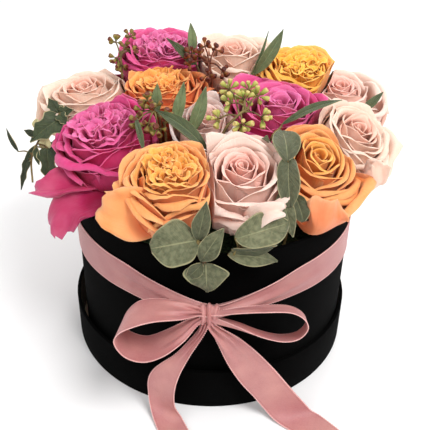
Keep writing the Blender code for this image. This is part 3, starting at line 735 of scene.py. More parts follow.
def build_petal_tree():
    """Along a petal, v runs over its standing part and t over the last part, which rolls."""
    tree, given, leave = new_geometry_tree("Petals round a cup", [
        ("Cup Radius", "NodeSocketFloat"), ("Cup Height", "NodeSocketFloat"),
        ("Material", "NodeSocketMaterial")])
    sheet = tree.nodes.new("GeometryNodeMeshGrid")
    sheet.inputs["Size X"].default_value = 2.0
    sheet.inputs["Size Y"].default_value = 1.0
    sheet.inputs["Vertices X"].default_value = PETAL_COLUMNS
    sheet.inputs["Vertices Y"].default_value = PETAL_ROWS
    placed = add_node(tree, "GeometryNodeInstanceOnPoints", Points=given["Geometry"],
                      Instance=Formula(tree, sheet.outputs["Mesh"]))
    position = Formula(tree, tree.nodes.new("GeometryNodeInputPosition").outputs[0])
    u, y, _ = parts_of(position)
    rise = 1.0 - (0.5 - y) ** 1.5
    geometry = keep_mark(tree, made_real(tree, placed), "across", u)
    geometry = keep_mark(tree, geometry, "along", rise)

    mark = {name: read_mark(tree, name) for name in PETAL_MARKS}
    cup_radius = given["Cup Radius"]
    cup_height = given["Cup Height"]
    far = abs(u)
    phase = mark["hue"] * PHASE_SPREAD
    body = lowest(rise / ROLL_START, 1.0)
    t = highest(rise - ROLL_START, 0.0) / (1.0 - ROLL_START)
    v = body * (1.0 - mark["dip"] * far ** 2.4)

    # The cup: the petal swells from its foot to its lip, and wraps round the axis.
    opened = sine(lowest(v * 1.6, 1.0) * (math.pi / 2))
    angle_off = u * mark["width"] * (FOOT_WIDTH + WIDTH_GAINED * opened)
    root = FOOT_REACH + mark["inward"] * INWARD_REACH
    reach = root + (1.0 - root) * sine(lowest(v * 1.3, 1.0) * (math.pi / 2))
    reach = reach + mark["belly"] * sine(v ** 0.85 * math.pi)
    bent = lowest(abs(angle_off), 1.1)
    flattened = 1.0 + mark["flat"] * (1.0 / cosine(bent) - 1.0)
    radius = mark["lip"] * cup_radius * reach * flattened
    radius = radius + u * v * cup_radius * SKEW
    height = mark["level"] * cup_height * v ** 1.15

    # Dents and ruffles: noise and a wave, each petal with its own.
    seeded = vector(tree, u * NOISE_STRETCH + phase, rise * NOISE_STRETCH,
                    mark["hue"] * NOISE_SPREAD)
    dents = noise(tree, seeded, DENT_GRAIN, 1.0) - 0.5
    radius = radius + dents * cup_radius * DENT_DEPTH * v * mark["lip"]
    strength = mark["ruffle"] * cup_radius * body ** 4.0 * (0.5 + t)
    radius = radius + sine(u * RUFFLE_WAVES + phase) * strength
    lifted = noise(tree, seeded, LIFT_GRAIN, 2.0) - 0.5
    height = height + lifted * (strength * RUFFLE_LIFT + cup_height * DENT_LIFT * v ** 2.0)

    # The rim: its last part rolls back as an arc, and so do its two sides.
    uneven = 0.5 + noise(tree, seeded, CURL_GRAIN, 1.0)
    curl = mark["curl"] * t * uneven + LEAST_CURL
    point = 1.0 - 0.50 * far ** 2.0 + 0.15 * (1.0 - far) ** 3.0
    strip = mark["roll"] * cup_radius * t * point
    radius = radius + strip * (1.0 - cosine(curl)) / curl
    height = height + strip * sine(curl) / curl
    edge = highest(far - SIDE_ROLL_START, 0.0) / SIDE_ROLL_SPAN
    side_roll = mark["curl"] * mark["roll"] * cup_radius * SIDE_ROLL_SHARE
    radius = radius + edge ** 2.0 * v ** 3.0 * side_roll

    # Round the axis, or round a swirl's own middle.
    angle = mark["turn"] + angle_off
    radius = highest(radius, LEAST_RADIUS)
    place = vector(tree, cosine(angle) * radius + mark["shift_x"] * cup_radius * v,
                   sine(angle) * radius + mark["shift_y"] * cup_radius * v, height)
    moved = add_node(tree, "GeometryNodeSetPosition", Geometry=geometry, Position=place)
    put_out(tree, Formula(tree, moved.outputs["Geometry"]), given, leave)
    return tree


PETAL_TREE = build_petal_tree()
print("petal tree:", len(PETAL_TREE.nodes), "nodes")


# %% Run a tree on a mesh


def grown(name, tree, base, values):
    """Runs a geometry tree on a mesh, and returns the plain mesh that it makes."""
    holder = new_piece(name, base)
    modifier = holder.modifiers.new(name, "NODES")
    modifier.node_group = tree
    for item in tree.interface.items_tree:
        if item.item_type == "SOCKET" and item.in_out == "INPUT" and item.name in values:
            modifier[item.identifier] = values[item.name]
    mesh = plain_mesh(holder)
    bpy.data.objects.remove(holder, do_unlink=True)
    return mesh


# %% [markdown]
# ## Two ways a rose opens
# The garden roses here are packed with petals that fold into several small swirls, and the tea
# roses open from one tight spiral. Each layer below says how many petals it has and how they
# stand, as shares of the cup, from the outside in. Each petal then differs a little by chance.

# %% Layers of petals
Layer = namedtuple("Layer", "petals lip level width curl roll belly ruffle flat dip phase")

SPIRAL = [
    Layer(4, 0.98, 0.84, 1.12, 2.3, 0.30, 0.08, 0.045, 0.10, 0.22, 0.0),
    Layer(4, 0.86, 0.92, 1.10, 2.0, 0.20, 0.12, 0.036, 0.10, 0.18, 0.5),
    Layer(3, 0.72, 0.95, 1.40, 1.7, 0.15, 0.14, 0.030, 0.14, 0.16, 0.2),
    Layer(3, 0.58, 0.98, 1.44, 1.5, 0.12, 0.20, 0.022, 0.16, 0.14, 0.7),
    Layer(3, 0.46, 1.00, 1.48, 1.4, 0.10, 0.26, 0.020, 0.20, 0.12, 0.1),
    Layer(3, 0.35, 1.01, 1.52, 1.3, 0.10, 0.32, 0.018, 0.22, 0.12, 0.6),
    Layer(3, 0.25, 1.02, 1.60, 1.2, 0.09, 0.36, 0.014, 0.22, 0.10, 0.2),
    Layer(2, 0.16, 1.02, 2.20, 1.0, 0.07, 0.40, 0.008, 0.00, 0.08, 0.8),
    Layer(1, 0.08, 1.00, 2.80, 0.6, 0.05, 0.40, 0.004, 0.00, 0.06, 0.0),
]
GARDEN = [
    Layer(4, 0.98, 0.86, 1.10, 2.2, 0.24, 0.10, 0.050, 0.10, 0.20, 0.0),
    Layer(5, 0.90, 0.93, 0.96, 1.9, 0.16, 0.10, 0.045, 0.10, 0.16, 0.5),
    Layer(5, 0.80, 0.96, 0.98, 1.7, 0.13, 0.12, 0.045, 0.10, 0.14, 0.2),
    Layer(5, 0.70, 0.98, 1.00, 1.6, 0.12, 0.14, 0.050, 0.10, 0.13, 0.7),
    Layer(6, 0.60, 0.99, 0.84, 1.5, 0.12, 0.16, 0.050, 0.10, 0.12, 0.2),
]
SWIRL = [
    Layer(3, 0.27, 0.99, 1.20, 1.6, 0.15, 0.20, 0.045, 0.15, 0.14, 0.0),
    Layer(3, 0.19, 1.01, 1.30, 1.4, 0.13, 0.26, 0.040, 0.15, 0.12, 0.5),
    Layer(3, 0.12, 1.02, 1.40, 1.2, 0.11, 0.30, 0.025, 0.10, 0.10, 0.8),
    Layer(1, 0.06, 1.01, 2.60, 0.7, 0.06, 0.30, 0.010, 0.00, 0.06, 0.2),
]
SWIRLS = 5
SWIRL_START = 0.3
SWIRL_TURN_CHANCE = 0.2
SWIRL_REACH = 0.34
SWIRL_REACH_CHANCE = (0.8, 1.15)
print("petals in a spiral rose:", sum(layer.petals for layer in SPIRAL))
print("petals in a garden rose:", sum(layer.petals for layer in GARDEN)
      + SWIRLS * sum(layer.petals for layer in SWIRL))

# %% The marks of each petal
CHANCE = {"lip": (0.96, 1.03), "level": (0.97, 1.02), "width": (0.92, 1.08),
          "curl": (0.7, 1.25), "roll": (0.65, 1.35), "belly": (0.8, 1.2), "ruffle": (0.7, 1.3),
          "dip": (0.8, 1.2)}
TURN_CHANCE = 0.10
FLARED_LAYERS = 3
COLLAR_MARKS = {"belly": 0.05, "ruffle": 0.05, "flat": 0.1, "dip": 0.2, "shift_x": 0.0,
                "shift_y": 0.0}
CUP_INWARD = (0.0, 0.6)
SWIRL_INWARD = (0.7, 1.0)
ANY_PHASE = 6.28


def layer_petals(layers, rng, flare=1.0, centre=(0.0, 0.0), turn=0.0, inward=(0.0, 1.0)):
    """The marks of every petal in some layers; flare spreads the outer layers' lips."""
    petals = []
    for index, layer in enumerate(layers):
        share = inward[0] + (inward[1] - inward[0]) * index / max(len(layers) - 1, 1)
        spread = 1 + (flare - 1) * max(0.0, 1 - index / FLARED_LAYERS)
        values = layer._replace(lip=layer.lip * spread)._asdict()
        for k in range(layer.petals):
            heading = turn + (k + 0.5 + layer.phase) * 2 * math.pi / layer.petals
            petal = {"turn": heading + rng.uniform(-TURN_CHANCE, TURN_CHANCE)}
            for mark, (least, most) in CHANCE.items():
                petal[mark] = values[mark] * rng.uniform(least, most)
            petal.update(flat=layer.flat, shift_x=centre[0], shift_y=centre[1], inward=share)
            petal["hue"] = rng.uniform(0.0, 1.0)
            petals.append(petal)
    return petals


def rose_petals(rose, rng):
    """The marks of all a rose's petals: its own broad collar petals, then its layers."""
    petals = []
    # The last value of each collar petal is the shade painted into its colour.
    for heading, lip, level, width, curl, roll, painted_shade in rose.collar:
        petals.append(dict(COLLAR_MARKS, turn=math.radians(heading), lip=lip, level=level,
                           width=width, curl=curl, roll=roll, inward=-painted_shade,
                           hue=rng.uniform(0.0, 1.0)))
    if rose.style == "spiral":
        return petals + layer_petals(SPIRAL, rng, rose.flare)
    petals += layer_petals(GARDEN, rng, rose.flare, inward=CUP_INWARD)
    for index in range(SWIRLS):
        angle = 2 * math.pi * (index + SWIRL_START) / SWIRLS
        angle += rng.uniform(-SWIRL_TURN_CHANCE, SWIRL_TURN_CHANCE)
        reach = SWIRL_REACH * rng.uniform(*SWIRL_REACH_CHANCE)
        centre = (reach * math.cos(angle), reach * math.sin(angle))
        petals += layer_petals(SWIRL, rng, centre=centre, turn=rng.uniform(0, ANY_PHASE),
                               inward=SWIRL_INWARD)
    return petals


# %% [markdown]
# ## Where each rose sits
# Each rose starts from the solid model's values: the middle of the cup's mouth, its radius and
# height, how far it leans and which way. The rest makes it the rose in the picture: the way its
# face turns, a few broad collar petals, and guard petals, as a grower calls the loose outermost
# ones. Neighbouring roses press on each other, so a petal stops at the plane between two blooms.

# %% The roses
CORE_SHARE = 0.62
HIGHEST_SHARE = 1.25
BEND_POWER = 1.4
LEAST_BEND = 0.01


def vec(*values):
    return np.array(values, dtype=float)


def unit(v):
    return v / np.linalg.norm(v)


class Rose:
    """One bloom: its cup's mouth, size and lean, its outer petals, and how its face turns.

    A collar petal is a heading, lip, level, width, curl, roll, and its painted shade, which darkens
    its colour both for shade and for the outer petals' own deeper tone; below zero it paints light.
    A guard petal is a route, a width, the way its width points, how its tip rolls, and the same.
    Face is a tilt and a heading, and lift moves the mouth to the right and up.
    """

    def __init__(self, name, colour, style, mouth, radius, height, lean, heading, flare=1.0,
                 collar=(), guards=(), face=None, lift=(0.0, 0.0)):
        self.name = name
        self.colour = colour
        self.style = style
        self.radius = radius
        self.height = height
        self.flare = flare
        self.collar = collar
        self.guards = guards
        lean = math.radians(lean)
        heading = math.radians(heading)
        out = vec(math.cos(heading), math.sin(heading), 0)
        self.axis = math.sin(lean) * out + vec(0, 0, math.cos(lean))
        self.base = vec(*mouth) - self.axis * height
        self.core = self.base + self.axis * height * CORE_SHARE
        self.side = unit(np.cross(vec(0, 1, 0), self.axis))
        self.front = np.cross(self.axis, self.side)
        self.mouth = vec(*mouth)
        self.face = self.axis
        if face:
            tilt, way = [math.radians(angle) for angle in face]
            self.face = vec(math.sin(tilt) * math.cos(way), math.sin(tilt) * math.sin(way),
                            math.cos(tilt))
        self.lift = vec(lift[0], 0, lift[1])

    def turned_face(self, points):
        """Bends the cup from its base, so that its mouth looks the way of its face."""
        hinge = np.cross(self.axis, self.face)
        bend = math.asin(min(np.linalg.norm(hinge), 1.0))
        up = np.clip((points - self.base) @ self.axis / self.height, 0, HIGHEST_SHARE)
        share = up ** BEND_POWER
        moved = points + share[..., None] * self.lift
        if bend < LEAST_BEND:
            return moved
        hinge = unit(hinge)
        angle = (bend * np.minimum(share, 1.0))[..., None]
        away = points - self.mouth
        turned_away = (away * np.cos(angle) + np.cross(hinge, away) * np.sin(angle)
                       + hinge * (away @ hinge)[..., None] * (1 - np.cos(angle)))
        return moved - away + turned_away


ROSES = [
    Rose("rose_pink_left", "hot_pink", "garden", (-78, -8, 163), 31, 46, 23, 200, 1.05,
         [(262, 1.04, 0.72, 1.30, 1.5, 0.14, 0.9), (195, 1.04, 0.84, 0.90, 1.7, 0.20, 0.7)],
         [([(-72, -14, 133), (-92, -32, 140), (-105, -41, 141), (-114, -44, 142), (-121, -43, 146)],
           26, (0.1, -0.85, -0.35), -1.6, 1.4),
          ([(-68, -36, 127), (-82, -51, 126), (-93, -62, 119), (-98, -68, 110)],
           53, (0.84, -0.5, -0.22), -0.8, 1.5)],
         face=(14, 235), lift=(0, 6)),
    Rose("rose_pink_back", "magenta", "garden", (-46, 82, 195), 28, 46, 6, 270, 1.1,
         face=(8, 275), lift=(3, 0)),
    Rose("rose_pink_right", "magenta", "spiral", (42, 14, 177), 32, 46, 8, 280, 1.1,
         [(270, 1.02, 0.76, 1.00, 2.2, 0.30, 0.6), (200, 1.15, 0.80, 0.95, 2.2, 0.34, 0.5)],
         face=(10, 275), lift=(4, 2)),
    Rose("rose_orange_left", "orange", "garden", (-28, -72, 165), 26, 46, 20, 265, 1.05,
         [(280, 1.10, 0.80, 1.35, 1.8, 0.16, 0.8), (212, 1.10, 0.84, 0.90, 2.0, 0.24, 0.5)],
         [([(-36, -82, 140), (-48, -90, 149), (-59, -93, 154), (-69, -91, 158)],
           34, (-0.1, -0.35, -0.93), -1.0, 0.5)],
         face=(12, 268), lift=(1, 5)),
    Rose("rose_orange_back", "coral_orange", "garden", (-37, 40, 179), 29, 44, 5, 250, 1.15,
         [(330, 1.06, 0.86, 1.00, 2.0, 0.26, 1.0)],
         face=(5, 260), lift=(-4, 3)),
    Rose("rose_yellow_back", "yellow_orange", "garden", (63, 58, 189), 26, 44, 16, 285, 1.1,
         face=(14, 280), lift=(0, 1)),
    Rose("rose_orange_right", "orange", "spiral", (69, -41, 165), 25, 46, 20, 315, 1.1,
         [(288, 1.16, 0.60, 1.35, 1.2, 0.10, 0.8), (300, 1.08, 0.80, 0.95, 2.4, 0.30, 0.2),
          (345, 1.35, 0.84, 0.85, 2.0, 0.36, 0.1)],
         [([(63, -62, 128), (65, -78, 129), (67, -84, 141), (69, -76, 155)],
           43, (0.92, 0.3, 0.0), -0.5, 0.5)],
         face=(30, 290), lift=(-1, 0)),
    Rose("rose_blush_left", "cream_blush", "spiral", (-98, 46, 173.5), 27, 42, 22, 160, 1.2,
         face=(6, 240), lift=(-2, 1)),
    Rose("rose_blush_front", "blush", "spiral", (18, -65, 165), 25, 44, 17, 275, 1.15,
         [(240, 1.08, 0.78, 0.90, 2.2, 0.36, 0.2), (285, 1.12, 0.70, 0.95, 2.3, 0.40, 0.3),
          (330, 1.10, 0.84, 0.80, 2.4, 0.44, 0.0)],
         [([(20, -84, 133), (24, -96, 150), (32, -102, 160), (41, -103, 163)],
           17, (-0.2, 0.56, 0.56), -0.6, 0.0)],
         face=(17, 275), lift=(-1, 4)),
    Rose("rose_cream_back", "cream_blush", "spiral", (12, 80, 190), 24, 46, 8, 270, 1.3,
         face=(2, 270), lift=(0, 4)),
    Rose("rose_blush_back", "blush", "spiral", (98, 52, 176.5), 22, 42, 18, 20, 1.5,
         [(165, 1.30, 0.84, 1.00, 2.0, 0.36, 0.0)],
         face=(14, 270), lift=(-4, 0)),
    Rose("rose_blush_right", "cream_blush", "spiral", (98, -8, 168), 26, 44, 25, 345, 0.92,
         [(300, 1.06, 0.62, 0.95, 2.2, 0.34, 0.4), (345, 1.12, 0.72, 1.00, 1.8, 0.26, 0.2),
          (10, 1.10, 0.84, 1.00, 2.2, 0.36, 0.2)],
         [([(94, -26, 130), (101, -40, 137), (103, -43, 150), (101, -38, 164)],
           32, (0.85, 0.4, 0.0), -1.4, 0.3)],
         face=(26, 310), lift=(1, 2)),
    # The centre rose has painted light: the lit copy of blush, and a collar shade below zero for
    # more heart colour.
    Rose("rose_blush_centre", "painted_light_blush", "spiral", (-5, -2, 163), 21, 38, 14, 270, 1.5,
         [(262, 1.25, 0.86, 1.10, 1.6, 0.30, -0.2)],
         face=(20, 275), lift=(-1, 10)),
]

BACK_ROSES = [("rose_rear_right", 65, "orange", "garden"),
              ("rose_rear_middle", 99, "blush", "spiral"),
              ("rose_rear_left", 131, "hot_pink", "garden")]
BACK_REACH = 124.0
BACK_HEIGHT = 151.0
BACK_LEAN = 55.0
BACK_RADIUS = 24.0
BACK_CUP = 34.0
for back_name, back_heading, back_colour, back_style in BACK_ROSES:
    back_turn = math.radians(back_heading)
    back_mouth = (BACK_REACH * math.cos(back_turn), BACK_REACH * math.sin(back_turn), BACK_HEIGHT)
    ROSES.append(Rose(back_name, back_colour, back_style, back_mouth, BACK_RADIUS, BACK_CUP,
                      BACK_LEAN, back_heading))
print(len(ROSES), "roses")

# %% Neighbours press on each other, and petals pass over the rim
PRESS_ROUNDS = 3
PRESS_SOFTNESS = 2.2
CONTACT_WAVE = 1.1
PRESS_GAP = 0.35
PETAL_CLEARANCE = 1.6
RIM_ZONE = (84.0, 108.0)
SLOPE_INSIDE = 1.2
SLOPE_OUTSIDE = 1.6


def contact_wave(points):
    """How far the contact between two blooms wanders from a plane, the same for both."""
    return CONTACT_WAVE * (np.sin(points[..., 0] / 7.1 + points[..., 2] / 6.3)
                           + np.sin(points[..., 1] / 6.7 - points[..., 2] / 8.9))


def pressed(points, rose):
    """Moves points of a rose to where its neighbours and the box's rim leave room for them."""
    points = points.copy()
    for _ in range(PRESS_ROUNDS):
        for other in ROSES:
            if other is rose:
                continue
            towards = other.core - rose.core
            distance = np.linalg.norm(towards)
            towards = towards / distance
            wall_at = distance * rose.radius / (rose.radius + other.radius) - PRESS_GAP
            order = 1 if ROSES.index(rose) < ROSES.index(other) else -1
            wall_at = wall_at + order * contact_wave(points)
            room = wall_at - (points - rose.core) @ towards
            tight = room < PRESS_SOFTNESS
            kept = PRESS_SOFTNESS * np.exp(np.clip(room / PRESS_SOFTNESS, -20, 1) - 1)
            points -= np.where(tight, kept - room, 0.0)[..., None] * towards
    reach = np.hypot(points[..., 0], points[..., 1])
    floor = RIM_HEIGHT + PETAL_CLEARANCE
    floor = floor - np.maximum(RIM_ZONE[0] - reach, 0) * SLOPE_INSIDE
    floor = floor - np.maximum(reach - RIM_ZONE[1], 0) * SLOPE_OUTSIDE
    points[..., 2] = np.maximum(points[..., 2], floor)
    return points


# %% Petals open to the side that the rose leans to, and stand up on the other
OPEN_LEVEL = 0.05
OPEN_REACH = 0.03
OPEN_CURL = 0.4
ROOM_SHARE = 0.7
LEAST_LIP = 0.05


def opened_petals(rose, petals):
    """Opens the petals on the free side, and draws in those that meet a neighbour."""
    free = vec(rose.axis[0], rose.axis[1], 0)
    free = free / max(np.linalg.norm(free), 0.001)
    for petal in petals:
        outward = rose.side * math.cos(petal["turn"]) + rose.front * math.sin(petal["turn"])
        loose = 1.0 - max(petal["inward"], 0.0)
        openness = float(outward @ free) * loose
        petal["level"] *= 1 - OPEN_LEVEL * openness
        petal["lip"] *= 1 + OPEN_REACH * openness
        petal["curl"] *= 1 + OPEN_CURL * openness
        lip = (rose.base + outward * petal["lip"] * rose.radius
               + rose.axis * petal["level"] * rose.height)
        reached = pressed(lip[None], rose)[0]
        fitted = float((reached - rose.base) @ outward) / rose.radius
        petal["lip"] += (max(fitted, LEAST_LIP) - petal["lip"]) * ROOM_SHARE
    return petals


# %% A smooth route, and a strip whose edge rolls under
EDGE_ROLL_RADIUS = 2.6


def smooth_route(points, steps=6):
    """A smooth curve through points, as more points (a Catmull-Rom spline)."""
    points = [np.asarray(p, dtype=float) for p in points]
    ends = [2 * points[0] - points[1]] + points + [2 * points[-1] - points[-2]]
    made = []
    for a, b, c, d in zip(ends, ends[1:], ends[2:], ends[3:]):
        for i in range(steps):
            t = i / steps
            made.append(0.5 * (2 * b + (c - a) * t + (2 * a - 5 * b + 4 * c - d) * t ** 2
                               + (3 * b - a - 3 * c + d) * t ** 3))
    made.append(points[-1])
    return np.array(made)


def rolled(length, roll):
    """Along and under: a strip runs straight and then rolls back under over its last part."""
    over = np.maximum(np.abs(length) - roll, 0)
    turn = over / EDGE_ROLL_RADIUS
    straight = np.minimum(np.abs(length), roll)
    return (np.sign(length) * (straight + EDGE_ROLL_RADIUS * np.sin(turn)),
            EDGE_ROLL_RADIUS * (1 - np.cos(turn)))


def along_route(line, share):
    """The place on a route at each share of its length."""
    run = np.concatenate([[0], np.cumsum(np.linalg.norm(np.diff(line, axis=0), axis=1))])
    run /= run[-1]
    return np.stack([np.interp(share, run, line[:, axis]) for axis in range(3)], axis=-1)


# %% Guard petals
EDGE_ROLL = 5.0
TIP_ROLL_START = 0.80
CORNERS_CUT = 0.20
RIM_WAVE = 0.045
GUARD_FOOT = 0.56
GUARD_GAINED = 0.44
GUARD_TAPER = 0.14
GUARD_CUP = 0.16
LONG_WAVE = 0.06
SHORT_WAVE = 0.075
CREASE_DEPTH = 0.9
CREASE_WIDTH = 0.14


def guard_petal(route, width, side, tip_roll, rng):
    """A petal that leaves the cup along a route: cupped, with rolled edges and a turned rim."""
    line = smooth_route(route)
    length = np.linalg.norm(np.diff(line, axis=0), axis=1).sum()
    u, v = np.meshgrid(np.linspace(-1, 1, PETAL_COLUMNS), np.linspace(0, 1, PETAL_ROWS) ** 0.85,
                       indexing="ij")
    phase = rng.uniform(0, ANY_PHASE)
    v_cut = v * (1 - CORNERS_CUT * np.abs(u) ** 2.4) + RIM_WAVE * np.sin(u * 7 + phase) * v ** 3
    middle = along_route(line, v_cut)
    tangent = along_route(line, np.minimum(v_cut + 0.03, 1)) - along_route(line, v_cut - 0.03)
    tangent /= np.linalg.norm(tangent, axis=-1, keepdims=True)
    sideways = unit(vec(*side)) - tangent * (tangent @ unit(vec(*side)))[..., None]
    sideways /= np.linalg.norm(sideways, axis=-1, keepdims=True)
    normal = np.cross(tangent, sideways)
    half = width / 2 * (GUARD_FOOT + GUARD_GAINED * np.sin(np.minimum(v * 2.6, math.pi / 2)))
    half = half * (1 - GUARD_TAPER * (np.maximum(v - 0.55, 0) / 0.45) ** 1.5)
    wide, under = rolled(half * u, half - EDGE_ROLL * v ** 1.5)
    wave = LONG_WAVE * width * v ** 2 * np.sin(u * 3.6 + phase)
    wave = wave + SHORT_WAVE * width * v ** 3 * np.sin(u * 8.1 + phase * 2)
    cupped = GUARD_CUP * width * u ** 2 * (1 - 0.5 * v)
    crease = CREASE_DEPTH * np.exp(-(u / CREASE_WIDTH) ** 2) * v
    t = np.maximum(v - TIP_ROLL_START, 0) / (1 - TIP_ROLL_START)
    strip = (1 - TIP_ROLL_START) * length * (1 - 0.3 * np.abs(u)) * t
    bend = abs(tip_roll) * t + LEAST_CURL
    back = strip * (1 - np.sin(bend) / bend)
    turned = np.sign(tip_roll) * strip * (1 - np.cos(bend)) / bend
    return (middle + sideways * wide[..., None] - tangent * back[..., None]
            + normal * (cupped + wave + turned - under - crease)[..., None])


# %% [markdown]
# ## Grow the roses
# For each rose the marks of its petals go on a cloud of points, the tree grows the petals, and
# the result is set on the rose's own axis and pressed against its neighbours. The guard petals
# are extra sheets in the same mesh, whose points come from the function above.

# %% Grow one rose
PETAL_THICKNESS = 0.32
GUARD_MARKS = {"turn": 0.0, "lip": 1.0, "level": 0.5, "width": 0.8, "curl": 0.2, "roll": 0.1,
               "belly": 0.0, "ruffle": 0.0, "flat": 0.0, "dip": 0.2, "shift_x": 0.0,
               "shift_y": 0.0}


def grow_rose(rose, seed):
    """All the petals of one rose, as one thin solid piece."""
    rng = np.random.default_rng(seed)
    petals = opened_petals(rose, rose_petals(rose, rng))
    cup = len(petals)
    # A guard petal's last value is the shade painted into its colour, stored as a mark below zero.
    petals += [dict(GUARD_MARKS, inward=-painted_shade, hue=rng.uniform(0, 1))
               for *_, painted_shade in rose.guards]
    cloud = bpy.data.meshes.new(rose.name + "_points")
    cloud.from_pydata([(0.0, 0.0, 0.0)] * len(petals), [], [])
    for mark in PETAL_MARKS:
        store(cloud, mark, [petal[mark] for petal in petals])
    mesh = grown(rose.name + "_petals", PETAL_TREE, cloud, {
        "Cup Radius": rose.radius * MM, "Cup Height": rose.height * MM,
        "Material": PETALS[rose.colour]})
    points = np.zeros(len(mesh.vertices) * 3)
    mesh.vertices.foreach_get("co", points)
    points = points.reshape(len(petals), PETAL_COLUMNS, PETAL_ROWS, 3) / MM
    points = rose.base + points @ np.array([rose.side, rose.front, rose.axis])
    points[:cup] = rose.turned_face(points[:cup])
    for index, (*guard, _) in enumerate(rose.guards):
        points[cup + index] = guard_petal(*guard, rng)
    points = pressed(points, rose)
    mesh.vertices.foreach_set("co", (points * MM).ravel())
    mesh.update()
    piece = new_piece(rose.name + "_petals", mesh)
    return thicken(piece, PETAL_THICKNESS, crisp=False)


# %% Grow them all
ROSE_SEED = 300
SLOT_OF = {"hot_pink": "pink_petal", "magenta": "pink_petal", "orange": "orange_petal",
           "coral_orange": "orange_petal", "yellow_orange": "yellow_petal",
           "blush": "blush_petal", "cream_blush": "blush_petal", "painted_light_blush": "blush_petal"}
for index, rose in enumerate(ROSES):
    bloom = grow_rose(rose, ROSE_SEED + index)
    finish_piece(bloom, SLOT_OF[rose.colour], rose.name)
    print(bloom.name, triangles(bloom), "triangles")

# %% [markdown]
# ## Stems and sepals
# The stems stand in the foam and hardly show, so they and their sepals keep their solids. They
# still get a real green, cloudy and rough like a rose's bark.

# %% Stem material
BARK_PER_METRE = 900.0
BARK_DEPTH = 0.0003


def make_stem():
    material, tree, shader = new_material("rose_stem", 0.5, subsurface=0.1, depth=0.002)
    bark = cloudy(tree, 130.0, screen(104, 128, 62), screen(62, 86, 40), 2.4)
    connect(tree, bark["Colour"], shader.inputs["Base Color"])
    add_relief(tree, shader, noise(tree, object_place(tree), BARK_PER_METRE), BARK_DEPTH)
    return material


STEM = make_stem()
for rose in ROSES:
    paint_solid(rose.name + "_stem", STEM)
print(len(ROSES), "stems keep their solids")

# %% [markdown]
# ## Leaves
# Eucalyptus leaves are broad, leathery and dusted with a pale bloom; willow eucalyptus is long
# with a pale rib; the vine's leaves are dark with cream edges. One function shapes them all: a
# foot, a tip, a width and the way the leaf faces. Each has a rib, a fold along it, an arch and a
# little wave, so no leaf lies flat.

# %% Leaf shape
LEAF_COLUMNS = 13
LEAF_ROWS = 25
LEAF_THICKNESS = 0.6
LEAF_FOLD = 0.18
LEAF_ARCH = 0.10
LEAF_WAVES = (7, 10)
LEAF_TWIST = 0.12
RIB_DEPTH = 0.35
RIB_WIDTH = 0.09
LEAF_RIPPLE = {"round": 0.085, "heart": 0.03, "ivy": 0.045, "long": 0.045}
IVY_LOBES = ((0.0, 0.50), (0.08, 0.86), (0.20, 1.0), (0.34, 0.66), (0.44, 0.62), (0.56, 0.78),
             (0.70, 0.44), (0.86, 0.22), (1.0, 0.03))


def leaf_width(v, kind):
    """Half the width of a leaf as a share of its widest, from its stalk to its tip."""
    if kind == "round":
        return np.maximum(0.05, np.sin(math.pi * np.minimum(v, 0.985)) ** 0.55)
    if kind == "heart":
        return np.maximum(0.04, (1 - v) ** 0.95 * np.sin(np.minimum(v / 0.30, 1.0) * 1.3 + 0.27))
    if kind == "ivy":
        places, widths = zip(*IVY_LOBES)
        return np.interp(v, places, widths)
    return np.maximum(0.04, np.sin(math.pi * np.minimum(v, 0.99) ** 0.80) ** 0.9)


def leaf_points(foot, tip, width, face, kind, rng):
    """The grid of one leaf, from its foot to its tip."""
    foot = vec(*foot)
    along = vec(*tip) - foot
    length = np.linalg.norm(along)
    along = along / length
    across = unit(np.cross(along, vec(*face)))
    normal = np.cross(across, along)
    u, v = np.meshgrid(np.linspace(-1, 1, LEAF_COLUMNS), np.linspace(0, 1, LEAF_ROWS),
                       indexing="ij")
    half = width / 2 * leaf_width(v, kind)
    phase = rng.uniform(0, ANY_PHASE)
    ripple = LEAF_RIPPLE[kind]
    waves = rng.uniform(*LEAF_WAVES)
    wave = width * ripple * np.abs(u) ** 2 * np.sin(v * waves + phase + 1.6 * u)
    half = half * (1 + ripple * 0.8 * np.sin(v * 8 + phase * 2 + 2.2 * np.sign(u)))
    rise = LEAF_ARCH * length * np.sin(math.pi * v) + LEAF_FOLD * half * np.abs(u) + wave
    rib = -RIB_DEPTH * np.exp(-(u / RIB_WIDTH) ** 2)
    twist = rng.uniform(-LEAF_TWIST, LEAF_TWIST) * half * u * v
    points = foot + along * (length * v)[..., None] + across * (half * u)[..., None]
    return points + normal * (rise + rib + twist)[..., None]


# %% Leaf materials
LEAF_SHADE_SHARE = 0.75
PALE_SHARE = 0.9
SIDE_VEINS = 34.0
SIDE_VEIN_SLANT = 0.35
SIDE_VEIN_SHARE = 0.12
RIB_SPAN = (0.015, 0.05)
RIB_SHARE = 0.55
EDGE_SPAN = (0.90, 0.99)
EDGE_SHARE = 0.7
LEAF_RELIEF = 0.0003


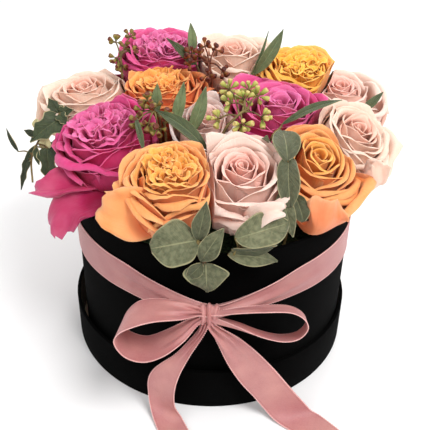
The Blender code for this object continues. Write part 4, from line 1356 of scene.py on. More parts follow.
def make_leaf(name, light, dark, deep, rib, rim, roughness, speckle, bloom):
    """Light and dark of the blade, the shade of a deep leaf, and its rib and rim.

    Speckle is how fine the dusty bloom is and bloom how much it shows. A leaf's mark is how
    deep in shade it lies, which paints that shade into its colour, and below zero how pale it is.
    """
    material, tree, shader = new_material(name, roughness, sheen=0.1, subsurface=0.08,
                                          depth=0.002, specular=0.3)
    across = attribute(tree, "across")
    along = attribute(tree, "along")
    mark = attribute(tree, "mark")
    blade = cloudy(tree, 60.0, screen(*light), screen(*dark), 1.8)
    dust = cloudy(tree, speckle, screen(*light), screen(*dark), 4.0)
    colour = blended(tree, bloom, blade["Colour"], dust["Colour"])
    # Painted shade: the mark mixes in the colour of a leaf in shade.
    colour = blended(tree, mark * LEAF_SHADE_SHARE, colour, screen(*deep))
    colour = blended(tree, mark * -PALE_SHARE, colour, screen(*rim))
    sides = use_group(tree, STREAKS, {
        "Across": along - abs(across) * SIDE_VEIN_SLANT, "Along": across, "Lines": SIDE_VEINS,
        "Wander": 1.0, "Seed": mark})
    colour = blended(tree, sides["Mask"] * SIDE_VEIN_SHARE, colour, screen(*rib))
    middle = 1.0 - step_between(abs(across), *RIB_SPAN)
    colour = blended(tree, middle * RIB_SHARE, colour, screen(*rib))
    edge = step_between(abs(across), *EDGE_SPAN)
    colour = blended(tree, edge * EDGE_SHARE, colour, screen(*rim))
    connect(tree, colour, shader.inputs["Base Color"])
    add_relief(tree, shader, sides["Mask"] * 0.6 + dust["Mask"] * 0.4, LEAF_RELIEF)
    return material


LEAVES = {
    "eucalyptus": make_leaf("leaf_eucalyptus", (124, 125, 94), (72, 76, 50), (46, 52, 32),
                            (152, 150, 112), (164, 158, 118), 0.62, 420.0, 0.5),
    "willow": make_leaf("leaf_willow", (118, 130, 86), (74, 88, 50), (40, 48, 22),
                        (150, 160, 112), (116, 124, 80), 0.5, 300.0, 0.25),
    "vine": make_leaf("leaf_vine", (66, 78, 46), (30, 44, 22), (18, 26, 12), (100, 108, 72),
                      (206, 194, 146), 0.45, 260.0, 0.4),
}


def make_twig(name, light, dark):
    return cloudy_material(name, 0.6, 180.0, screen(*light), screen(*dark), 2.4, relief=0.0002,
                           specular=0.25)


TWIG = make_twig("twig_bark", (128, 112, 66), (78, 56, 34))
RED_TWIG = make_twig("twig_red", (124, 64, 40), (66, 24, 18))
print("leaves and twigs:", ", ".join(LEAVES), TWIG.name, RED_TWIG.name)

# %% [markdown]
# ## Sprigs
# Each sprig is a stalk that stands in the foam and the leaves along it. The lists start from the
# solid model's, and a few leaves are moved or added to sit as the picture shows them. They say
# where the stalk goes, and each leaf's foot, tip, width, facing, kind and mark. A leaf that lies in
# shade has a mark near 1, which paints that shade into its colour, and a pale young one has a mark
# below zero.

# %% Where the sprigs go
STALK_FOOT = 66
STALK_CLEAR = 112
UP_FRONT = (0.0, -0.8, 0.6)
FRONT = (0.0, -1.0, 0.15)


def from_foam(x, y, *rest):
    """The points of a stalk that stands straight in the foam until it is clear of it."""
    return [(x, y, STALK_FOOT), (x, y, STALK_CLEAR), *rest]


SPRIGS = [
    ("eucalyptus_front_left", "eucalyptus",
     from_foam(-5, -90, (-5, -93, 125), (-5, -98, 131), (-9, -105, 140), (-7, -107, 134),
               (-5, -107, 122)),
     [((-9, -104, 140), (-36, -112, 139), 28, UP_FRONT, "round", 0.35),
      ((-9, -104, 140), (-4, -101, 165), 11, UP_FRONT, "long", 0.8),
      ((-7, -108, 128), (6, -104, 149), 13, UP_FRONT, "long", 0.5),
      ((-6, -107.5, 126), (-16, -110, 116), 9, FRONT, "long", 0.9),
      ((-4, -107, 126), (-3, -106, 103), 38, FRONT, "heart", 0.45)]),
    ("eucalyptus_front_right", "eucalyptus",
     from_foam(24, -86, (24, -90, 124), (22, -98, 132), (15, -106, 137), (12, -107, 131)),
     [((13, -106, 143), (44, -99, 150), 20.5, UP_FRONT, "round", 0.15),
      ((11, -107, 136), (38, -103, 137), 9, (0.0, -0.9, -0.3), "long", 1.0),
      ((9, -107, 132), (39, -104, 126), 13, (0.0, -0.6, 0.8), "long", 0.3)]),
    ("eucalyptus_right", "eucalyptus",
     from_foam(46, -70, (49, -73, 138), (49, -71, 158), (47, -56, 172), (47, -48, 174)),
     [((45, -63, 172), (43, -36, 180), 18, (0.1, -0.6, 0.8), "round", 0.75),
      ((46, -58, 173), (46, -87, 154), 15, (-0.3, -0.7, 0.6), "round", 0.85),
      ((50, -73, 154), (55, -86, 143), 12, (0.1, -0.9, 0.4), "round", 0.95),
      ((40, -77, 158), (48, -97, 139), 11, UP_FRONT, "long", 0.5)]),
    ("willow_left", "willow",
     from_foam(-38.5, -2, (-38.5, -2, 168), (-41, 4, 174)),
     [((-41, 3, 173), (-41, 13, 191), 7.5, (0.0, -0.9, 0.4), "long", 0.0)]),
    ("willow_front_left", "willow",
     from_foam(-48, -38, (-48, -42, 160), (-45, -50, 171)),
     [((-45, -49, 170), (-53, -20, 181), 4, (0.0, -0.6, 0.8), "long", 0.9)]),
    ("willow_centre", "willow",
     from_foam(-13, -30, (-13, -26, 160), (-16, -18, 172)),
     [((-28, -14, 170), (-22, 6, 195), 8, (0.1, -0.9, 0.4), "long", 0.1),
      ((-17, -19, 167), (-7, 6, 192), 9, (0.2, -0.9, 0.4), "long", 0.3),
      ((-5, -41, 168), (-40, -17, 184), 10, (0.3, -0.6, 0.8), "long", 1.0)]),
    ("willow_back", "willow",
     from_foam(22, 50, (24, 50, 176), (28, 50, 186)),
     [((28, 50, 185), (49, 68, 214), 10, (0.4, -0.9, 0.3), "long", 0.45),
      ((25, 50, 182), (38, 66, 213), 2.5, (0.3, -0.9, 0.3), "long", 0.5)]),
    ("willow_back_left", "willow",
     from_foam(-10, 56, (-11, 60, 170), (-18, 70, 192)),
     [((-18, 70, 191), (-21, 92, 210), 7, (0.1, -0.8, 0.6), "long", 0.0),
      ((-15.5, 66.4, 184), (-38, 66, 206), 7, (0.2, -0.8, 0.6), "long", 1.0),
      ((-12, 84, 166), (-15, 87, 191), 10, (0.0, -0.9, 0.3), "long", 0.9)]),
    ("willow_right", "willow",
     from_foam(34, -28, (36, -27, 165), (44, -22, 177)),
     [((44, -22, 178), (86, 0, 187), 6, (-0.2, -0.6, 0.8), "long", 1.0),
      ((36, -27, 165), (30, -44, 178), 7, (0.0, -0.7, 0.7), "long", 0.5)]),
    ("willow_far_right", "willow",
     from_foam(80, 20, (92, 22, 150), (104, 21, 169)),
     [((103, 21, 168), (123, 38, 178), 6, (0.2, -0.8, 0.6), "long", 0.9)]),
    ("eucalyptus_back", "eucalyptus",
     from_foam(60, 58, (68, 66, 128), (76, 74, 134), (86, 84, 134), (92, 90, 126)),
     [((76, 74, 134), (99, 72, 140), 22, (0.6, 0.6, 0.6), "round", 0.3),
      ((86, 84, 134), (76, 104, 132), 24, (0.6, 0.6, 0.5), "round", 0.5),
      ((88, 86, 131), (106, 80, 122), 22, (0.7, 0.5, 0.4), "round", 0.6),
      ((92, 90, 126), (96, 94, 104), 20, (0.8, 0.6, 0.1), "round", 0.4),
      ((86, 84, 134), (92, 80, 178), 17, (0.0, -0.9, 0.4), "long", 0.6)]),
    ("vine_left", "vine",
     from_foam(-76, 19, (-84, 19, 127), (-97, 19, 134), (-112, 17, 147), (-119, 13, 158),
               (-127, 2, 148), (-131, -4, 138), (-130, -12, 124)),
     [((-111, 11, 164), (-132, 2, 149), 20, UP_FRONT, "ivy", 0.3),
      ((-112, 14, 166), (-120, 21, 175), 12, UP_FRONT, "ivy", 0.5),
      ((-111, 13, 167), (-101, 13, 170), 10, UP_FRONT, "ivy", 0.4),
      ((-111, 11, 167), (-104, 5, 161), 9, UP_FRONT, "ivy", 0.0),
      ((-127, 4, 153), (-136, 5, 157), 5, UP_FRONT, "long", 1.0),
      ((-120, 1, 145), (-117, -9, 120), 16, FRONT, "ivy", 0.2),
      ((-119, 2, 144), (-108, 2, 151), 9, UP_FRONT, "ivy", 1.0),
      ((-122, 3, 142), (-121, 4, 153), 9, UP_FRONT, "round", -1.0),
      ((-128, 2, 147), (-138, -3, 132), 5, FRONT, "long", 0.6),
      ((-128, 1, 147), (-126, -4, 134), 5, FRONT, "long", 0.2),
      ((-134, -2, 138), (-140, -9, 116), 6, FRONT, "ivy", 0.9),
      ((-141, 1, 142), (-149, 7, 157), 3.4, FRONT, "long", 0.7),
      ((-128, 6, 158), (-127, 9, 164), 5, UP_FRONT, "round", -1.0)]),
]
print(len(SPRIGS), "sprigs,", sum(len(leaves) for *_, leaves in SPRIGS), "leaves")

# %% Stalks
STALK_ROUNDNESS = 2
MAIN_STALK = (1.1, 0.7)
LEAF_STALK = (0.6, 0.4)
STANDS_OFF = 0.8
INTO_LEAF = 1.5
STALK_BOW = 0.12
FORK_STEPS = 4


def stalk_piece(name, routes, material):
    """Round stalks along routes; each route is its points, its radius and its radius at the tip."""
    curve = bpy.data.curves.new(name, "CURVE")
    curve.dimensions = "3D"
    curve.bevel_depth = MM
    curve.bevel_resolution = STALK_ROUNDNESS
    curve.use_fill_caps = True
    for points, radius, tip in routes:
        spline = curve.splines.new("POLY")
        spline.points.add(len(points) - 1)
        for index, (spot, at) in enumerate(zip(spline.points, points)):
            spot.co = (*(at * MM), 1.0)
            spot.radius = radius + (tip - radius) * index / (len(points) - 1)
    holder = new_piece(name, curve)
    mesh = plain_mesh(holder)
    bpy.data.objects.remove(holder, do_unlink=True)
    mesh.materials.clear()
    piece = new_piece(name, mesh, material)
    weld = piece.modifiers.new("weld", "WELD")
    weld.merge_threshold = MERGE_WITHIN
    applied(piece)
    piece.data.shade_smooth()
    return piece


def joined(name, pieces):
    """Joins pieces into the first, which takes the name."""
    with bpy.context.temp_override(active_object=pieces[0], object=pieces[0],
                                   selected_objects=pieces, selected_editable_objects=pieces):
        bpy.ops.object.join()
    pieces[0].name = name
    pieces[0].data.name = name
    return pieces[0]


def leaf_stalks(stem, leaves):
    """The main stalk, and a thin one from it to the foot of each leaf that stands off it."""
    main = smooth_route(stem)
    routes = [(main, *MAIN_STALK)]
    for foot, tip, *_ in leaves:
        foot = vec(*foot)
        away = np.linalg.norm(main - foot, axis=1)
        near = main[np.argmin(away)]
        into = foot + unit(vec(*tip) - foot) * INTO_LEAF
        if away.min() > STANDS_OFF:
            bend = (near + foot) / 2 + vec(0, 0, STALK_BOW * away.min())
            routes.append((smooth_route([near, bend, foot, into], FORK_STEPS), *LEAF_STALK))
    return routes


# %% Make the sprigs
LEAF_SEED = 700
for index, (name, kind, stem, leaves) in enumerate(SPRIGS):
    rng = np.random.default_rng(LEAF_SEED + index)
    sheets = [leaf_points(*leaf[:5], rng) for leaf in leaves]
    marks = [leaf[5] for leaf in leaves]
    blades = new_piece(name + "_leaves", grid_mesh(name, sheets, marks), LEAVES[kind])
    thicken(blades, LEAF_THICKNESS)
    stalk = stalk_piece(name + "_stalk", leaf_stalks(stem, leaves), TWIG)
    sprig = joined(name + "_sprig", [blades, stalk])
    finish_piece(sprig, kind, name)
    print(sprig.name, len(leaves), "leaves,", triangles(sprig), "triangles")

# %% [markdown]
# ## Seed capsules
# Seeded eucalyptus carries small urn-shaped capsules on short stalks. One capsule is turned from a
# profile, in units that the tree scales to its size. The Geometry Nodes tree puts a copy on the
# end of every little stalk, turned the way the stalk points. Copies like these have only a few
# dozen faces each.

# %% One capsule
CAPSULE_MERGE = 0.0001
CAPSULE_PROFILE = [(0.0, 1.30), (0.20, 1.30), (0.30, 1.38), (0.36, 1.36), (0.42, 1.20),
                   (0.44, 1.00), (0.36, 0.66), (0.22, 0.32), (0.11, 0.0), (0.0, -0.04)]
CAPSULE_SIDES = 8


def make_capsule(material):
    mesh = bpy.data.meshes.new("capsule")
    points = [(radius, 0.0, height) for radius, height in CAPSULE_PROFILE]
    mesh.from_pydata(points, [(i, i + 1) for i in range(len(points) - 1)], [])
    piece = new_piece("capsule", mesh, material)
    spin(piece, CAPSULE_SIDES, CAPSULE_MERGE)
    applied(piece)
    heights = [v.co.z / CAPSULE_PROFILE[0][1] for v in piece.data.vertices]
    store(piece.data, "along", heights)
    piece.data.shade_smooth()
    return piece


# %% The capsule tree


def build_capsule_tree():
    tree, given, leave = new_geometry_tree("Capsules on stalks", [
        ("Capsule", "NodeSocketObject"), ("Size", "NodeSocketFloat"),
        ("Length", "NodeSocketFloat"), ("Material", "NodeSocketMaterial")])
    info = add_node(tree, "GeometryNodeObjectInfo", Object=given["Capsule"])
    way = vector(tree, read_mark(tree, "way_x"), read_mark(tree, "way_y"),
                 read_mark(tree, "way_z"))
    turn = tree.nodes.new("FunctionNodeAlignRotationToVector")
    turn.axis = "Z"
    connect(tree, way, turn.inputs["Vector"])
    placed = tree.nodes.new("GeometryNodeInstanceOnPoints")
    connect(tree, given["Geometry"], placed.inputs["Points"])
    tree.links.new(info.outputs["Geometry"], placed.inputs["Instance"])
    tree.links.new(turn.outputs["Rotation"], placed.inputs["Rotation"])
    size = given["Size"] * read_mark(tree, "size")
    connect(tree, vector(tree, size, size, size * given["Length"]), placed.inputs["Scale"])
    put_out(tree, made_real(tree, placed), given, leave)
    return tree


# %% Capsule colours
SHOULDER_SPAN = (0.1, 0.8)
MOUTH_SPAN = (0.84, 0.95)
RIPE_SHARE = 0.45
SEED_GRAIN = 1500.0
SEED_GRAIN_DEPTH = 0.0002


def make_seed(name, low, high, mouth):
    """A capsule's colours at its foot, its shoulder and its mouth."""
    material, tree, shader = new_material(name, 0.5, subsurface=0.1, depth=0.001, specular=0.35)
    along = attribute(tree, "along")
    colour = blended(tree, step_between(along, *SHOULDER_SPAN), screen(*low), screen(*high))
    colour = blended(tree, step_between(along, *MOUTH_SPAN), colour, screen(*mouth))
    hue = attribute(tree, "hue")
    colour = blended(tree, hue * RIPE_SHARE, colour, screen(*mouth))
    connect(tree, colour, shader.inputs["Base Color"])
    add_relief(tree, shader, noise(tree, object_place(tree), SEED_GRAIN), SEED_GRAIN_DEPTH)
    return material


SEEDS = {
    "green": make_seed("seed_green", (126, 136, 50), (170, 178, 82), (200, 178, 112)),
    "brown": make_seed("seed_brown", (156, 104, 46), (124, 50, 24), (72, 20, 10)),
    "olive": make_seed("seed_olive", (128, 130, 52), (146, 128, 62), (104, 48, 30)),
}
CAPSULE = make_capsule(SEEDS["green"])
CAPSULE_TREE = build_capsule_tree()
print("one capsule:", triangles(CAPSULE), "triangles")

# %% Where the seed stalks go
# Each has its name and colour, its capsules' size, how many stand on each tip, its stalk and its
# tips.
SEEDED = [
    ("seeds_centre", "green", 4.0, 7,
     from_foam(2, -28, (4, -28, 168), (14, -24, 184), (22, -18, 187)),
     [(2, -22, 181), (9, 4, 191), (17, -32, 182), (22, 2, 192), (30, -22, 183), (19, -10, 190),
      (28, -4, 190), (10, -14, 189)]),
    ("seeds_back", "brown", 3.9, 5,
     from_foam(-3, 46, (-3, 46, 176), (-5, 49, 190), (-6, 51, 194)),
     [(-19, 58, 197), (-9, 60, 202), (-2, 60, 200), (-13, 52, 198), (-19, 48, 194),
      (4, 44, 190), (-6, 40, 188)]),
    ("seeds_back_left", "olive", 4.0, 5,
     from_foam(-72, 60, (-72, 61, 170), (-73, 66, 188), (-73, 70, 194)),
     [(-78, 78, 198), (-67, 80, 202), (-70, 74, 195), (-76, 68, 189), (-64, 72, 192),
      (-73, 64, 185)]),
    ("seeds_left", "olive", 4.2, 5,
     from_foam(-34, -13, (-34, -13, 168), (-39, -14, 179), (-41, -15, 184)),
     [(-46, -8, 187), (-48, -14, 182), (-41, -14, 184), (-34, -18, 181), (-52, -22, 178),
      (-44, -24, 178), (-38, -26, 175)]),
]
CAPSULE_LENGTH = {"green": 1.0, "brown": 0.8, "olive": 0.75}
print(len(SEEDED), "sprays,", sum(count * len(tips) for *_, count, _, tips in SEEDED), "capsules")

# %% Make the sprays
SPRAY_SEED = 40
SPRAY_STALK = (1.1, 0.8)
FORK_STALK = (0.7, 0.5)
CAPSULE_STALK = (0.42, 0.4)
CAPSULE_STALK_LENGTH = 2.2
LENGTH_CHANCE = (0.7, 1.3)
SIZE_CHANCE = (0.8, 1.15)
FORK_BOW = 0.15
FIRST_OPENED = 0.25
OPENED_CHANCE = (0.9, 1.45)
SIDEWAYS = vec(0.3, 0.2, 1.0)


def seeded_piece(name, colour, size, count, stem, tips, seed):
    """A stalk that forks to each tip, where capsules stand out all round like a star."""
    rng = np.random.default_rng(seed)
    hub = vec(*stem[-2])
    end = vec(*stem[-1])
    routes = [(smooth_route(stem), *SPRAY_STALK)]
    spots = []
    ways = []
    for index, tip in enumerate(tips):
        tip = vec(*tip)
        start = hub + (end - hub) * (index + 0.5) / len(tips)
        middle = (start + tip) / 2 + vec(0, 0, FORK_BOW * np.linalg.norm(tip - start))
        routes.append((smooth_route([start, middle, tip], FORK_STEPS), *FORK_STALK))
        away = unit(tip - start)
        first = unit(np.cross(away, SIDEWAYS))
        second = np.cross(away, first)
        star_turn = rng.uniform(0, ANY_PHASE)
        for k in range(count):
            turn = star_turn + 2 * math.pi * k / max(count - 1, 1)
            opened = FIRST_OPENED if k == 0 else rng.uniform(*OPENED_CHANCE)
            around = first * math.cos(turn) + second * math.sin(turn)
            lean = unit(away * math.cos(opened) + around * math.sin(opened))
            spot = tip + lean * CAPSULE_STALK_LENGTH * rng.uniform(*LENGTH_CHANCE)
            routes.append((np.array([tip, spot]), *CAPSULE_STALK))
            spots.append(spot)
            ways.append(lean)
    cloud = bpy.data.meshes.new(name + "_points")
    cloud.from_pydata([tuple(spot * MM) for spot in spots], [], [])
    for axis, label in enumerate(("way_x", "way_y", "way_z")):
        store(cloud, label, [way[axis] for way in ways])
    store(cloud, "size", [rng.uniform(*SIZE_CHANCE) for _ in spots])
    store(cloud, "hue", [rng.uniform(0.0, 1.0) for _ in spots])
    mesh = grown(name, CAPSULE_TREE, cloud, {
        "Capsule": CAPSULE, "Size": size * MM, "Length": CAPSULE_LENGTH[colour],
        "Material": SEEDS[colour]})
    capsules = new_piece(name + "_capsules", mesh)
    stalks = stalk_piece(name + "_stalks", routes, RED_TWIG if colour == "brown" else TWIG)
    return joined(name + "_spray", [capsules, stalks])


for index, (name, colour, size, count, stem, tips) in enumerate(SEEDED):
    spray = seeded_piece(name, colour, size, count, stem, tips, SPRAY_SEED + index)
    finish_piece(spray, "seeded", name)
    print(spray.name, triangles(spray), "triangles")
bpy.data.objects.remove(CAPSULE, do_unlink=True)

# %% [markdown]
# ## Satin ribbon
# The ribbon is 25 mm satin with a woven edge that shows as a row of small dots. Near the knot it
# is gathered into lengthwise folds that fan out and fade. A ribbon is a sheet that follows a path,
# so each piece is a grid along its middle line, with the lost width taken up in folds. The band
# round the box lies in the flowers' shade, so painted shade deepens its pink away from the knot,
# and each point carries how much of that painted shade it has.

# %% Satin
RIBBON_WIDTH = 25.0
RIBBON_THICKNESS = 0.5
THREADS_PER_METRE = 2600.0
THREAD_SHARE = 0.18
BAND_SHADE_SHARE = 0.42
ROW_INNER_SPAN = (0.84, 0.86)
ROW_OUTER_SPAN = (0.90, 0.92)
DOT_REPEAT = 0.0016
DOT_SPAN = (-0.1, 0.4)
ROW_SHARE = 0.55
SELVEDGE_SPAN = (0.95, 0.98)
SELVEDGE_SHARE = 0.8
SATIN_RELIEF = 0.0002


def make_satin():
    material, tree, shader = new_material("pink_satin", 0.42, sheen=0.35, subsurface=0.08,
                                          depth=0.002, specular=0.45)
    shader.inputs["Sheen Roughness"].default_value = 0.35
    shader.inputs["Sheen Tint"].default_value = screen(250, 200, 200)
    shader.inputs["Anisotropic"].default_value = 0.4
    across = attribute(tree, "across")
    run = attribute(tree, "run")
    threads = use_group(tree, STREAKS, {
        "Across": run, "Along": across, "Lines": THREADS_PER_METRE, "Wander": 8.0, "Seed": 0.3})
    clouds = cloudy(tree, 55.0, screen(196, 138, 131), screen(173, 109, 111), 1.6)
    thread_share = threads["Mask"] * THREAD_SHARE
    colour = blended(tree, thread_share, clouds["Colour"], screen(214, 162, 154))
    # Painted shade: the band is mixed towards a darker pink where the flowers shade it.
    band_shade_share = attribute(tree, "taut") * BAND_SHADE_SHARE
    colour = blended(tree, band_shade_share, colour, screen(122, 62, 66))
    far = abs(across)
    row = step_between(far, *ROW_INNER_SPAN) * (1.0 - step_between(far, *ROW_OUTER_SPAN))
    dots = step_between(sine(run * (2 * math.pi / DOT_REPEAT)), *DOT_SPAN)
    colour = blended(tree, row * dots * ROW_SHARE, colour, screen(176, 84, 92))
    selvedge = step_between(far, *SELVEDGE_SPAN) * SELVEDGE_SHARE
    colour = blended(tree, selvedge, colour, screen(240, 190, 184))
    connect(tree, colour, shader.inputs["Base Color"])
    add_relief(tree, shader, threads["Mask"] * 0.4 - row * dots, SATIN_RELIEF)
    return material


SATIN = make_satin()
print("satin repeats its dots every", DOT_REPEAT / MM, "mm")

# %% Lay a ribbon along its path
RIBBON_COLUMNS = 21
RIBBON_STEPS = 8
PLEATS = 2.4
PLEAT_FULLNESS = 1.2
SECOND_PLEAT_SHARE = 0.4
SECOND_PLEAT_RATE = 1.7
GATHER_POWER = 1.3


def ribbon_points(middle, across, widths, fade, arch, seed):
    """A ribbon's grid: its lost width goes into folds where it is gathered, and an arch beyond.

    Fade says where it is gathered: a place and a reach, as shares of its length.
    """
    rng = np.random.default_rng(seed)
    line = smooth_route(middle, RIBBON_STEPS)
    wide = smooth_route([vec(*w) for w in across], RIBBON_STEPS)
    wide /= np.linalg.norm(wide, axis=1, keepdims=True)
    width = smooth_route([vec(w, 0, 0) for w in widths], RIBBON_STEPS)[:, 0]
    tangent = np.gradient(line, axis=0)
    tangent /= np.linalg.norm(tangent, axis=1, keepdims=True)
    normal = np.cross(wide, tangent)
    normal /= np.linalg.norm(normal, axis=1, keepdims=True)
    run = np.concatenate([[0], np.cumsum(np.linalg.norm(np.diff(line, axis=0), axis=1))])
    share = run / run[-1]
    u = np.linspace(-1, 1, RIBBON_COLUMNS)[:, None]
    lost = np.sqrt(np.maximum(RIBBON_WIDTH ** 2 - width ** 2, 0.0))
    gather = np.zeros_like(share)
    for place, reach in fade:
        near = np.clip(1 - np.abs(share - place) / reach, 0, 1)
        gather = np.maximum(gather, near ** GATHER_POWER)
    phase = rng.uniform(0, ANY_PHASE)
    drift = 0.5 * np.sin(share * 5 + phase)
    second = np.sin(math.pi * PLEATS * SECOND_PLEAT_RATE * u + 2 * phase)
    pleats = np.sin(math.pi * PLEATS * u + phase + drift) + SECOND_PLEAT_SHARE * second
    pleats = pleats * lost / (2 * math.pi * PLEATS) * PLEAT_FULLNESS * gather
    bowed = (np.cos(math.pi * u / 2) - 0.5) * lost / math.pi * (1 - gather) * arch
    sheet = line[None] + wide[None] * (width / 2 * u)[..., None]
    sheet = sheet + normal[None] * (pleats + bowed)[..., None]
    return sheet, run


def ribbon_piece(name, sheet, run, taut):
    mesh = grid_mesh(name, [sheet])
    store(mesh, "run", np.tile(run * MM, RIBBON_COLUMNS))
    store(mesh, "taut", np.tile(taut * np.ones_like(run), RIBBON_COLUMNS))
    piece = new_piece(name, mesh, SATIN)
    return thicken(piece, RIBBON_THICKNESS)


# %% [markdown]
# ## Dots along the woven edge
# The tiny loops at the ribbon's edge catch the light one by one, so they are real geometry: a
# Geometry Nodes tree walks along an edge and sets a bead at every step.

# %% The edge tree
DOT_SPACING = 1.7
DOT_SIZE = 0.42


def build_edge_tree():
    tree, given, leave = new_geometry_tree("Beads along an edge", [
        ("Spacing", "NodeSocketFloat"), ("Dot Size", "NodeSocketFloat"),
        ("Material", "NodeSocketMaterial")])
    curve = add_node(tree, "GeometryNodeMeshToCurve", Mesh=given["Geometry"])
    even = tree.nodes.new("GeometryNodeResampleCurve")
    even.mode = "LENGTH"
    tree.links.new(curve.outputs["Curve"], even.inputs["Curve"])
    connect(tree, given["Spacing"], even.inputs["Length"])
    bead = tree.nodes.new("GeometryNodeMeshIcoSphere")
    bead.inputs["Subdivisions"].default_value = 1
    connect(tree, given["Dot Size"], bead.inputs["Radius"])
    placed = tree.nodes.new("GeometryNodeInstanceOnPoints")
    tree.links.new(even.outputs["Curve"], placed.inputs["Points"])
    tree.links.new(bead.outputs["Mesh"], placed.inputs["Instance"])
    put_out(tree, made_real(tree, placed), given, leave)
    return tree


EDGE_TREE = build_edge_tree()
THREAD = cloudy_material("edge_thread", 0.4, 800.0, screen(240, 196, 190), screen(206, 142, 140),
                         2.0, specular=0.5)
print("edge tree:", len(EDGE_TREE.nodes), "nodes")

# %% Bead the edges and finish a ribbon


def edge_beads(name, sheet):
    """Beads along both long edges of a ribbon's grid."""
    points = []
    edges = []
    for line in (sheet[0], sheet[-1]):
        start = len(points)
        points += [tuple(p * MM) for p in line]
        edges += [(start + i, start + i + 1) for i in range(len(line) - 1)]
    mesh = bpy.data.meshes.new(name)
    mesh.from_pydata(points, edges, [])
    beads = grown(name, EDGE_TREE, mesh, {
        "Spacing": DOT_SPACING * MM, "Dot Size": DOT_SIZE * MM, "Material": THREAD})
    piece = new_piece(name, beads)
    piece.data.shade_smooth()
    return piece


def finish_ribbon(name, sheet, run, node, taut=0.0):
    cloth = ribbon_piece(name, sheet, run, taut)
    beads = edge_beads(name + "_edge", sheet)
    finish_piece(cloth, "satin", node)
    finish_piece(beads, "satin")
    length = run[-1] * MM
    print(name, "is", round(length * 1000), "mm long,", triangles(cloth), "triangles")


# %% [markdown]
# ## The band, the bow and the tails
# The band lies flat round the box and drops to the knot at the front, where it narrows into
# folds. Two loops stand out from the knot, and two tails hang down and run out along the table.

# %% The band
BAND_OUT = 0.7
BAND_AT = [(0, 84, 9), (7, 88, 10), (17, 92, 15), (33, 97, 22), (60, 97, 25), (110, 95, 25),
           (180, 94, 25)]
BAND_STEPS = 240
BAND_SMOOTHING = 5
BAND_GATHERED = 48
BAND_LIFT = 1.35
BAND_PLEAT_SHARE = 10
BAND_WAVE = 0.15
# The band's painted shade starts this many degrees from the knot and reaches full over the next.
BAND_SHADE_FROM = 8.0
BAND_SHADE_OVER = 22.0


def band_points():
    """The band's grid. BAND_AT gives its middle height and its width at turns from the knot."""
    turns = np.linspace(-180, 180, BAND_STEPS + 1)
    stops = [stop for stop, _, _ in BAND_AT]
    middle = np.interp(np.abs(turns), stops, [m for _, m, _ in BAND_AT])
    width = np.interp(np.abs(turns), stops, [w for _, _, w in BAND_AT])
    kernel = np.hanning(2 * BAND_SMOOTHING + 1)
    kernel /= kernel.sum()
    middle = np.convolve(np.pad(middle, BAND_SMOOTHING, mode="edge"), kernel, mode="valid")
    width = np.convolve(np.pad(width, BAND_SMOOTHING, mode="edge"), kernel, mode="valid")
    lost = np.sqrt(np.maximum(RIBBON_WIDTH ** 2 - width ** 2, 0.0))
    u = np.linspace(-1, 1, RIBBON_COLUMNS)[:, None]
    near = np.clip(1 - np.abs(turns) / BAND_GATHERED, 0, 1) ** 0.8
    side = np.where(turns < 0, 0.0, 1.9)
    pleats = np.sin(u * 4.4 + side + turns / 40) + 0.35 * np.sin(u * 9.0 + side * 2)
    relief = (pleats + BAND_LIFT) * lost / BAND_PLEAT_SHARE * near
    relief = relief + BAND_WAVE * np.sin(u * 2 + turns / 17)
    radius = BOX_RADIUS + BAND_OUT + np.maximum(relief, 0.0)
    angle = np.radians(turns)
    height = middle + width / 2 * u
    sheet = np.stack([radius * np.sin(angle), -radius * np.cos(angle), height], axis=-1)
    run = np.radians(turns + 180) * BOX_RADIUS
    return sheet, run


band_sheet, band_run = band_points()
band_turns = np.abs(np.degrees(band_run / BOX_RADIUS) - 180)
band_shade_amount = np.clip((band_turns - BAND_SHADE_FROM) / BAND_SHADE_OVER, 0, 1)
finish_ribbon("satin_band", band_sheet, band_run, "ribbon_band",
              band_shade_amount)

